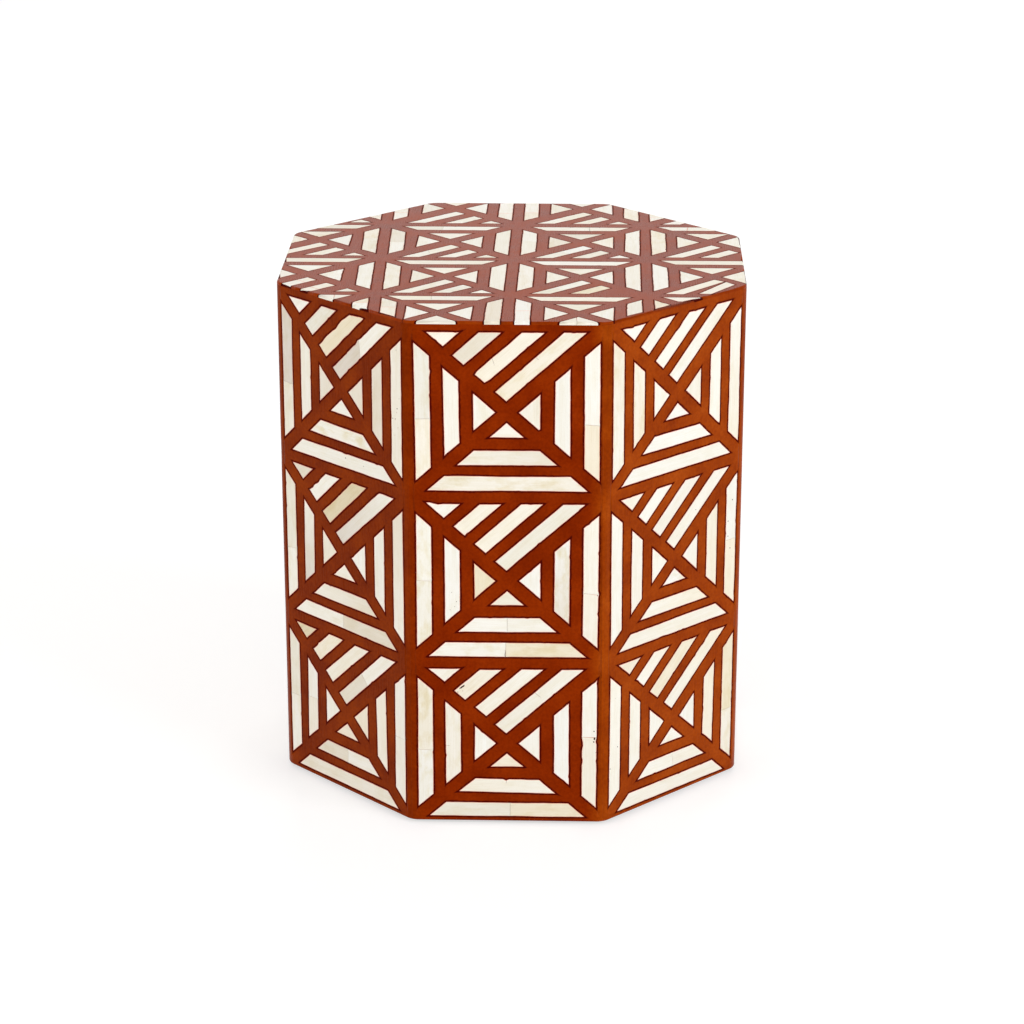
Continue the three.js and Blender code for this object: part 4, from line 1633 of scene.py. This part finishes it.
    def lay(
        self,
        strip: Strip,
        mark: Mark,
        low: float,
        high: float,
        chance: random.Random,
        rim: "Rim | None" = None,
    ) -> "Laid":
        """Makes a strip's bones, glue line and pocket tool.

        Args:
            strip: the strip.
            mark: what sets it apart.
            low: height of its underside.
            high: height of its polished face.
            chance: the source of its errors.
            rim: the rounded rim that the bones are trimmed to, where they reach one.

        Returns:
            The layers, with the bones dressed.
        """
        outline = self.outline(strip, mark, chance)
        second = mark.second or mark.tone
        tones = [(mark.tone, mark.tone), (second, second)] if mark.joint else [(mark.tone, second)]
        lengths = []
        for sheet, pair in zip(self.lengths(outline, strip, mark), tones):
            block = self.bone(sheet, low, high)
            for crack in mark.cracks:
                block = self.crack(block, outline, strip, crack, high)
            for pit in mark.pits:
                block = self.pit(block, outline, strip, pit, high)
            if rim:
                block = carved(block, rim.slab(0.0), Carving.KEEP, crossing=True)
            if block.verts:
                buried = rim.buried if rim else lambda co: high - co.z
                self.dress(block, strip, mark, pair, buried, chance)
                lengths.append(block)
            else:
                log.warning("a length of bone came out empty: %s %d", strip.side, strip.order)
        laid = Laid(lengths, self.glue_line(outline, low, high), self.pocket(outline, low, high))
        outline.free()
        return laid


@dataclass(frozen=True)
class Rim:
    """The seat's slab with its rounded rim, which trims the bones and lines that reach it."""

    skin: Skin

    def slab(self, sink: float) -> BMesh:
        """The seat's slab, sunk by a little under the finished faces."""
        skin = self.skin
        return skin.drum(sink, skin.seat_bottom, skin.top - sink, skin.rim_round, skin.top - sink)

    def behind(self, co: Vector) -> float:
        """How far a point lies in from the seat's nearest edge."""
        return min(cut.behind(co) for cut in self.skin.rim_cuts(0.0))

    def touched_by(self, block: BMesh) -> bool:
        """Whether a block reaches into the rounded rim."""
        return any(self.behind(vert.co) < self.skin.rim_round for vert in block.verts)

    def buried(self, co: Vector) -> float:
        """How deep a point lies under the seat's top, or 0 where it lies on or close behind the rim."""
        return 0.0 if self.behind(co) < self.skin.rim_round else self.skin.top - co.z


@dataclass
class Laid:
    """One strip's lengths of bone, its glue line and the tool that cuts its pocket."""

    bones: list[BMesh]
    line: BMesh
    pocket: BMesh


@dataclass
class Inlay:
    """The finished layers of one inlaid face: bones, glue lines, and the tool that cuts the resin."""

    bones: list[BMesh] = field(default_factory=list)
    lines: list[BMesh] = field(default_factory=list)
    pockets: list[BMesh] = field(default_factory=list)


@dataclass
class MarkMaker:
    """Draws marks for the strips that have none of their own.

    What is named odds is a chance from 0 to 1, and what is named bell is the middle and spread of a bell
    curve. A crack right through a strip is a joint of one tone, which leans farther. blunt_range is in
    millimetres.
    """

    outer_joint_odds: float = 0.8
    inner_joint_odds: float = 0.3
    crack_odds: float = 0.06
    joint_range: Range = (0.36, 0.64)
    lean_bell: Range = (0, 3)
    crack_lean: float = 10
    ragged_bell: Range = (0.25, 0.22)
    least_ragged: float = 0.05
    stain_bell: Range = (0.3, 0.3)
    speck_odds: float = 0.12
    speck_range: Range = (0.2, 1.0)
    blunt_odds: float = 0.05
    blunt_range: Range = (0.7, 1.5)
    tones: tuple[Tone, ...] = tuple(Tone)
    weights: tuple[float, ...] = (0.49, 0.26, 0.08, 0.03, 0.08, 0.03, 0.02, 0.01)

    def mark(self, strip: Strip, last: int, chance: random.Random) -> Mark:
        """Draws a mark.

        Args:
            strip: the strip that gets it.
            last: the order of the small triangle in the strip's field, which is never jointed.
            chance: the source of the draw.

        Returns:
            The mark.
        """
        first, second = chance.choices(self.tones, self.weights, k=2)
        outermost = strip.order == 0 and strip.side is not Field.TOP
        odds = self.outer_joint_odds if outermost else self.inner_joint_odds
        jointed = strip.order < last and chance.random() < odds
        cracked = strip.order < last and chance.random() < self.crack_odds
        joint = chance.uniform(*self.joint_range)
        lean = chance.gauss(*self.lean_bell)
        return Mark(
            tone=first,
            second=second if jointed else first,
            joint=joint if jointed or cracked else 0.0,
            lean=lean if jointed else lean * self.crack_lean,
            ragged=min(1.0, max(self.least_ragged, chance.gauss(*self.ragged_bell))),
            stain=min(1.0, max(0.0, chance.gauss(*self.stain_bell))),
            specks=chance.uniform(*self.speck_range) if chance.random() < self.speck_odds else 0.0,
            blunt=chance.uniform(*self.blunt_range) * MM if chance.random() < self.blunt_odds else 0.0,
        )


@dataclass
class SideFace:
    """One inlaid side: three tiles, one above another."""

    number: int
    skin: Skin
    work: BoneWork
    marks: MarkMaker
    bone: bpy.types.Material
    resin: bpy.types.Material
    glue_line: bpy.types.Material
    rows: int = 3
    edge_margin: float = 6.5 * MM
    top_margin: float = 9.3 * MM
    bottom_margin: float = 4.7 * MM
    tile_gap: float = 11.4 * MM
    bar_width: float = 12.8 * MM
    ring_across_shares: tuple[float, ...] = (0, 0.315, 0.636)
    ring_down_shares: tuple[float, ...] = (0, 0.327, 0.686)
    band_half_width: float = 6.5 * MM
    stripes: int = 3
    first_stripe: float = 7.5 * MM
    stripe_width: float = 12.3 * MM
    stripe_pitch: float = 23.2 * MM
    seed: int = 1100

    def tile(self) -> Tile:
        """Works out the tile that the side is laid with.

        Returns:
            The tile.
        """
        face_width = 2 * self.skin.face_out * math.tan(HALF_TURN)
        inlay_height = self.skin.top - self.skin.bottom - self.top_margin - self.bottom_margin
        return Tile(
            width=face_width - 2 * self.edge_margin,
            height=(inlay_height + self.tile_gap) / self.rows - self.tile_gap,
            bar_width=self.bar_width,
            ring_across_shares=self.ring_across_shares,
            ring_down_shares=self.ring_down_shares,
            band_half_width=self.band_half_width,
            stripes=self.stripes,
            first_stripe=self.first_stripe,
            stripe_width=self.stripe_width,
            stripe_pitch=self.stripe_pitch,
        )

    def inlay(self) -> Inlay:
        """Lays the side's inlay flat: x runs across the side, y up it and z out of it.

        Returns:
            The layers.
        """
        chance = random.Random(self.seed + self.number)
        own_marks = SIDE_MARKS.get(self.number, {})
        tile = self.tile()
        low, high = self.skin.back, self.skin.face_out
        layers = Inlay()
        for row in range(self.rows):
            first = self.skin.bottom + self.bottom_margin + tile.height / 2
            middle = first + row * (tile.height + self.tile_gap)
            for pattern in tile.strips():
                strip = pattern.moved(0, middle)
                last = self.stripes if strip.side is Field.TOP else len(self.ring_across_shares) - 1
                drawn = self.marks.mark(strip, last, chance)
                mark = own_marks.get((row, strip.side, strip.order), drawn)
                laid = self.work.lay(strip, mark, low, high, chance)
                layers.bones.extend(laid.bones)
                layers.lines.append(laid.line)
                layers.pockets.append(laid.pocket)
        return layers

    def ground(self) -> BMesh:
        """Makes the side's slab of resin, before its pockets are cut, in its place at the front.

        Returns:
            The slab.
        """
        skin = self.skin
        slab = skin.drum(self.work.resin_sink, skin.bottom, skin.seat_bottom, skin.foot_round, skin.bottom)
        trim(slab, Vector((0, -skin.back, 0)), Vector((0, 1, 0)))
        for hand in (-1, 1):
            mitre = Vector((hand * math.cos(HALF_TURN), math.sin(HALF_TURN), 0))
            trim(slab, Vector((0, 0, 0)), mitre)
        bmesh.ops.recalc_face_normals(slab, faces=slab.faces)
        return slab

    def build(self) -> None:
        """Builds the side's bones, glue lines and resin, and turns them to their place."""
        layers = self.inlay()
        stand_up = Matrix.Rotation(90 * DEGREE, 4, "X")
        turn = Matrix.Rotation((self.number - 1) * SIDE_TURN, 4, "Z")
        bones = gathered(layers.bones)
        lines = gathered(layers.lines)
        tool = gathered(layers.pockets)
        for block in (bones, lines, tool):
            bmesh.ops.transform(block, matrix=stand_up, verts=block.verts[:])
        resin = carved(self.ground(), tool, Carving.CUT)
        for block in (bones, lines, resin):
            bmesh.ops.transform(block, matrix=turn, verts=block.verts[:])
        n = self.number
        placed(f"side_bones_{n}", bones, self.bone, (f"side_bone_inlay_{n}",))
        placed(f"side_resin_{n}", resin, self.resin, (f"side_resin_ground_{n}",))
        placed(f"side_glue_lines_{n}", lines, self.glue_line, ())


@dataclass
class Seat:
    """The inlaid seat: a square grid of smaller tiles, cut off by the eight edges and rounded at the rim."""

    skin: Skin
    work: BoneWork
    marks: MarkMaker
    bone: bpy.types.Material
    resin: bpy.types.Material
    glue_line: bpy.types.Material
    grid: int = 4
    tile_pitch: float = 117.4 * MM
    tile_gap: float = 11.2 * MM
    bar_width: float = 12.8 * MM
    ring_shares: tuple[float, ...] = (0, 0.458)
    band_half_width: float = 6.4 * MM
    stripes: int = 2
    first_stripe: float = 8.7 * MM
    stripe_width: float = 11.4 * MM
    stripe_pitch: float = 23.2 * MM
    smallest_side: float = 5 * MM
    rim_zone: float = 3 * MM
    rim_stop: float = 0.3 * MM
    rim_stops: dict[int, float] = field(default_factory=lambda: {0: -2.0 * MM, 1: 3.0 * MM})
    rim_spread: float = 0.9 * MM
    rim_lean: float = 5 * DEGREE
    scrap_grain: float = 52 * DEGREE
    clear_of_face: float = 0.01 * MM
    row_lean: float = 0.033
    row_lean_x: float = -120 * MM
    row_lean_width: float = 38 * MM
    row_lean_pivot: float = 45 * MM
    right_slip: float = 2.0 * MM
    forward_slip: float = 4.6 * MM
    most_backward: float = -0.3
    slip_reach: float = 150 * MM
    whole_share: float = 0.9999
    missing: tuple[tuple[int, int, Field, int], ...] = (
        (2, 1, Field.TOP, 2),
        (3, 1, Field.TOP, 0),
        (3, 1, Field.TOP, 1),
    )
    scraps: tuple[tuple[tuple[float, float], ...], ...] = (
        ((0.1300, -0.1120), (0.1455, -0.1128), (0.1808, -0.0722), (0.1727, -0.0660)),
        ((0.1588, -0.1112), (0.1688, -0.1118), (0.1895, -0.0820), (0.1822, -0.0733)),
    )
    seed: int = 2200

    def tile(self) -> Tile:
        """Works out the tile that the seat is laid with.

        Returns:
            The tile.
        """
        side = self.tile_pitch - self.tile_gap
        return Tile(
            width=side,
            height=side,
            bar_width=self.bar_width,
            ring_across_shares=self.ring_shares,
            ring_down_shares=self.ring_shares,
            band_half_width=self.band_half_width,
            stripes=self.stripes,
            first_stripe=self.first_stripe,
            stripe_width=self.stripe_width,
            stripe_pitch=self.stripe_pitch,
        )

    def strips(self) -> list[Strip]:
        """Draws the seat's pattern. The front row has plain wedges in place of stripes.

        Returns:
            All the strips that the seat shows.
        """
        tile = self.tile()
        strips = []
        for column in range(self.grid):
            for row in range(self.grid):
                x = (column - (self.grid - 1) / 2) * self.tile_pitch
                y = (row - (self.grid - 1) / 2) * self.tile_pitch
                for pattern in tile.wedge_strips() if row == 0 else tile.strips():
                    strip = self.strayed(pattern.turned_half_round().moved(x, y))
                    spot = (column, row, strip.side, strip.order)
                    if spot not in self.missing and self.shows(strip):
                        strips.append(strip)
        return strips

    def area(self, cuts: Iterable[Cut]) -> float:
        """Measures what a set of cuts leaves.

        Args:
            cuts: the cuts.

        Returns:
            Its area.
        """
        sheet = sheet_of(cuts)
        area = sum(face.calc_area() for face in sheet.faces)
        sheet.free()
        return area

    def middle(self, cuts: Iterable[Cut]) -> Vector:
        """Finds the middle of the face that a set of cuts leaves.

        Args:
            cuts: the cuts.

        Returns:
            The middle.
        """
        sheet = sheet_of(cuts)
        middle = next(iter(sheet.faces)).calc_center_median()
        sheet.free()
        return middle

    def strayed(self, strip: Strip) -> Strip:
        """Carries a strip as far out of its true place as the maker laid it.

        One row leans, the right side lies a little inward, and the middle lies too near the front.

        Args:
            strip: the strip in its true place.

        Returns:
            The strip where it was laid.
        """
        middle = self.middle(strip.cuts)
        lean = self.row_lean * math.exp(-(((middle.x - self.row_lean_x) / self.row_lean_width) ** 2))
        leftward = self.right_slip * (max(middle.x, 0) / self.tile_pitch) ** 2
        x = lean * (self.row_lean_pivot - middle.y) - leftward
        inward = (1 - (middle.x / self.slip_reach) ** 2) * (1 - (middle.y / self.slip_reach) ** 2)
        turn = lean if strip.side in (Field.LEFT, Field.RIGHT) and strip.order == 0 else 0.0
        return strip.turned(turn, middle).moved(x, -self.forward_slip * max(inward, self.most_backward))

    def ended(self, strip: Strip, chance: random.Random) -> Strip:
        """A strip with its ends cut by hand near the rim, each a little off.

        Args:
            strip: a strip that crosses the rim.
            chance: the source of the errors.

        Returns:
            The strip with the cuts added.
        """
        middle = self.middle((*strip.cuts, *self.skin.rim_cuts(0.0)))
        stops = []
        for number, rim in enumerate(self.skin.rim_cuts(0.0)):
            stop = rim.inset(chance.gauss(self.rim_stops.get(number, self.rim_stop), self.rim_spread))
            pivot = middle + Vector((stop.across, stop.up, 0)) * stop.behind(middle)
            stops.append(stop.turned(chance.gauss(0, self.rim_lean), pivot))
        return strip.trimmed(stops)

    def shows(self, strip: Strip) -> bool:
        """Whether enough of a strip lies on the seat to be worth laying."""
        return self.area((*strip.cuts, *self.skin.rim_cuts(self.rim_zone))) > self.smallest_side**2

    def crosses_rim(self, strip: Strip) -> bool:
        """Whether a strip reaches into the rounded rim."""
        whole = self.area(strip.cuts)
        return self.area((*strip.cuts, *self.skin.rim_cuts(self.rim_zone))) < whole * self.whole_share

    def build(self) -> None:
        """Builds the seat's bones, glue lines and resin."""
        chance = random.Random(self.seed)
        low, high = self.skin.seat_bottom, self.skin.top - self.clear_of_face
        layers = Inlay()
        rim = Rim(self.skin)
        rim_lines = []
        for strip in self.strips():
            last = self.stripes if strip.side is Field.TOP else len(self.ring_shares) - 1
            mark = self.marks.mark(strip, last, chance)
            at_rim = self.crosses_rim(strip)
            if at_rim:
                strip = self.ended(strip, chance)
            laid = self.work.lay(strip, mark, low, high, chance, rim if at_rim else None)
            layers.bones.extend(laid.bones)
            layers.pockets.append(laid.pocket)
            (rim_lines if at_rim or rim.touched_by(laid.line) else layers.lines).append(laid.line)
        trimmed = [carved(gathered(rim_lines), rim.slab(self.work.line_sink), Carving.KEEP, crossing=True)]
        resin = carved(rim.slab(self.work.resin_sink), gathered(layers.pockets), Carving.CUT, crossing=True)
        for corners in self.scraps:
            scrap = Strip.patch(corners, self.scrap_grain)
            laid = self.work.lay(scrap, Mark(Tone.IVORY), low, high, chance, rim)
            layers.bones.extend(laid.bones)
            trimmed.append(carved(laid.line, rim.slab(self.work.line_sink), Carving.KEEP))
            resin = carved(resin, laid.pocket, Carving.CUT)
        placed("seat_bones", gathered(layers.bones), self.bone, ("seat_bone_inlay",))
        placed("seat_resin", resin, self.resin, ("seat_resin_ground",))
        placed("seat_glue_lines", gathered([*layers.lines, *trimmed]), self.glue_line, ())


@dataclass
class Carcass:
    """The box under the skin and what it stands on. Its pieces keep the frame's shapes."""

    board: BoardFinish = BoardFinish()
    timber: TimberFinish = TimberFinish()
    paint: PaintFinish = PaintFinish()
    nylon: NylonFinish = NylonFinish()
    steel: SteelFinish = SteelFinish()

    def dress(self) -> None:
        """Gives each of the frame's own pieces its finish."""
        board = self.board.material()
        nylon = self.nylon.material()
        steel = self.steel.material()
        finishes = {
            "side_panel": board,
            "top_board": board,
            "top_former": board,
            "corner_block": self.timber.material(),
            "base_board": self.paint.material(),
            "glide_nail": steel,
            "top_screw": steel,
            "glide": nylon,
        }
        for name, node in sorted(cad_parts.items()):
            start = next((start for start in finishes if name.startswith(start)), None)
            if start:
                for slot in node.material_slots:
                    slot.material = finishes[start]
                log.info("%s: dressed", name)


@dataclass(frozen=True)
class Lamp:
    """A soft square lamp: where it hangs, how wide it is, its power in watts and its light's colour."""

    name: str
    place: Triple
    width: float
    power: float
    colour: Triple = (1.0, 1.0, 1.0)

    def hang(self, aim: Triple) -> None:
        """Hangs the lamp.

        Args:
            aim: the point that it faces.
        """
        light = bpy.data.lights.new(self.name, "AREA")
        light.color = self.colour
        light.size = self.width
        light.energy = self.power
        lamp = bpy.data.objects.new(self.name, light)
        lamp.location = self.place
        lamp.rotation_euler = (Vector(aim) - Vector(self.place)).to_track_quat("-Z", "Y").to_euler()
        bpy.context.scene.collection.objects.link(lamp)
        log.info("%s: %.0f W", self.name, self.power)


@dataclass
class Stage:
    """The floor, the light and the camera."""

    floor_radius: float = 7.0
    floor_sides: int = 96
    floor_grey: Colour = rgb(0.56, 0.56, 0.56)
    floor_roughness: float = 0.9
    floor_lift: float = 0.55
    room_light: float = 0.5
    lamps: tuple[Lamp, ...] = (
        Lamp("key lamp", (4.0, -2.7, 1.8), 2.4, 139),
        Lamp("fill lamp", (-4.1, -2.5, 1.6), 2.6, 103, WARM),
        Lamp("front lamp", (0.2, -5.0, 1.7), 2.4, 28),
        Lamp("back lamp", (0.4, 3.4, 4.4), 2.6, 60, WARM),
        Lamp("low back lamp", (0.3, 3.6, 1.6), 2.4, 8, WARM),
    )
    lens: float = 108.49
    sensor: float = 36.0
    camera_place: Triple = (0.0728, -2.6132, 1.1466)
    camera_tilt: float = 70.376 * DEGREE
    camera_turn: float = 1.632 * DEGREE
    aim: Triple = (0.0, 0.0, 0.22)

    def build(self) -> None:
        """Sets up everything round the stool."""
        self.floor()
        self.room()
        for lamp in self.lamps:
            lamp.hang(self.aim)
        self.camera()
        bpy.context.scene.view_settings.view_transform = "Standard"

    def floor(self) -> None:
        """A plain pale floor that keeps the stool's shadow."""
        disc = bmesh.new()
        bmesh.ops.create_circle(
            disc, cap_ends=True, segments=self.floor_sides, radius=self.floor_radius
        )
        floor = bpy.data.objects.new("floor", mesh_of(disc, "floor"))
        bpy.context.scene.collection.objects.link(floor)
        board = NodeBoard.of_material("pale floor")
        seen = self.seen_directly(board)
        finish = board.finish(
            Base_Color=self.floor_grey,
            Roughness=self.floor_roughness,
            Specular_IOR_Level=0.0,
            Emission_Color=rgb(1, 1, 1),
            Emission_Strength=board.reckoned(seen, self.floor_lift),
        )
        floor.data.materials.append(finish)
        log.info("floor: %.0f m across", 2 * self.floor_radius)

    def seen_directly(self, board: NodeBoard) -> bpy.types.NodeSocket:
        """Tells what the camera sees from light that falls on other things.

        Args:
            board: the nodes of the material or the room that asks.

        Returns:
            1 for what the camera sees, in itself or in gloss or glass, and 0 for the rest.
        """
        path = board.put("LightPath").outputs
        seen = board.reckoned(path["Is Camera Ray"], path["Is Glossy Ray"], "ADD")
        seen = board.reckoned(seen, path["Is Transmission Ray"], "ADD")
        return board.reckoned(seen, 1.0, "MINIMUM")

    def room(self) -> None:
        """A white room that gives a soft, weaker light."""
        board = NodeBoard(bpy.data.worlds.new("room"), "Background")
        seen = self.seen_directly(board)
        bpy.context.scene.world = board.finish(
            Color=rgb(1, 1, 1), Strength=board.span(seen, 0.0, 1.0, self.room_light, 1.0)
        )

    def camera(self) -> None:
        """The camera, where the photograph was taken from."""
        data = bpy.data.cameras.new("camera")
        data.lens = self.lens
        data.sensor_width = self.sensor
        camera = bpy.data.objects.new("camera", data)
        camera.location = self.camera_place
        camera.rotation_euler = (self.camera_tilt, 0.0, self.camera_turn)
        bpy.context.scene.collection.objects.link(camera)
        bpy.context.scene.camera = camera


def main() -> None:
    """Builds the stage and the stool, piece by piece."""
    logging.basicConfig(level=logging.INFO, format="%(name)s: %(message)s")
    Stage().build()
    bone = BoneFinish().material()
    resin = ResinFinish().material()
    glue_line = GlueLineFinish().material()
    # Painted light: the seat's resin is a lighter, warmer copy of the sides' resin, so the top looks more
    # brightly lit; its glue lines fade into that same colour
    seat_lit_resin_finish = ResinFinish(
        deep=rgb(0.235, 0.026, 0.0008),
        rust=rgb(0.282, 0.034, 0.0012),
        bright=rgb(0.325, 0.044, 0.002),
        paints_side_light=False,
    )
    seat_resin = seat_lit_resin_finish.material()
    seat_glue_line = GlueLineFinish(resin=seat_lit_resin_finish, bleed=GlueLineFinish.dark).material()
    skin = Skin.from_frame()
    work = BoneWork()
    marks = MarkMaker()
    for number in range(1, SIDE_COUNT + 1):
        SideFace(number, skin, work, marks, bone, resin, glue_line).build()
    seat_marks = MarkMaker(
        outer_joint_odds=0.4, inner_joint_odds=0.15, weights=(0.38, 0.38, 0.05, 0.01, 0.15, 0.03, 0.0, 0.0)
    )
    Seat(skin, BoneWork(line_width=1.4 * MM), seat_marks, bone, seat_resin, seat_glue_line).build()
    Carcass().dress()


if __name__ == "__main__":
    main()
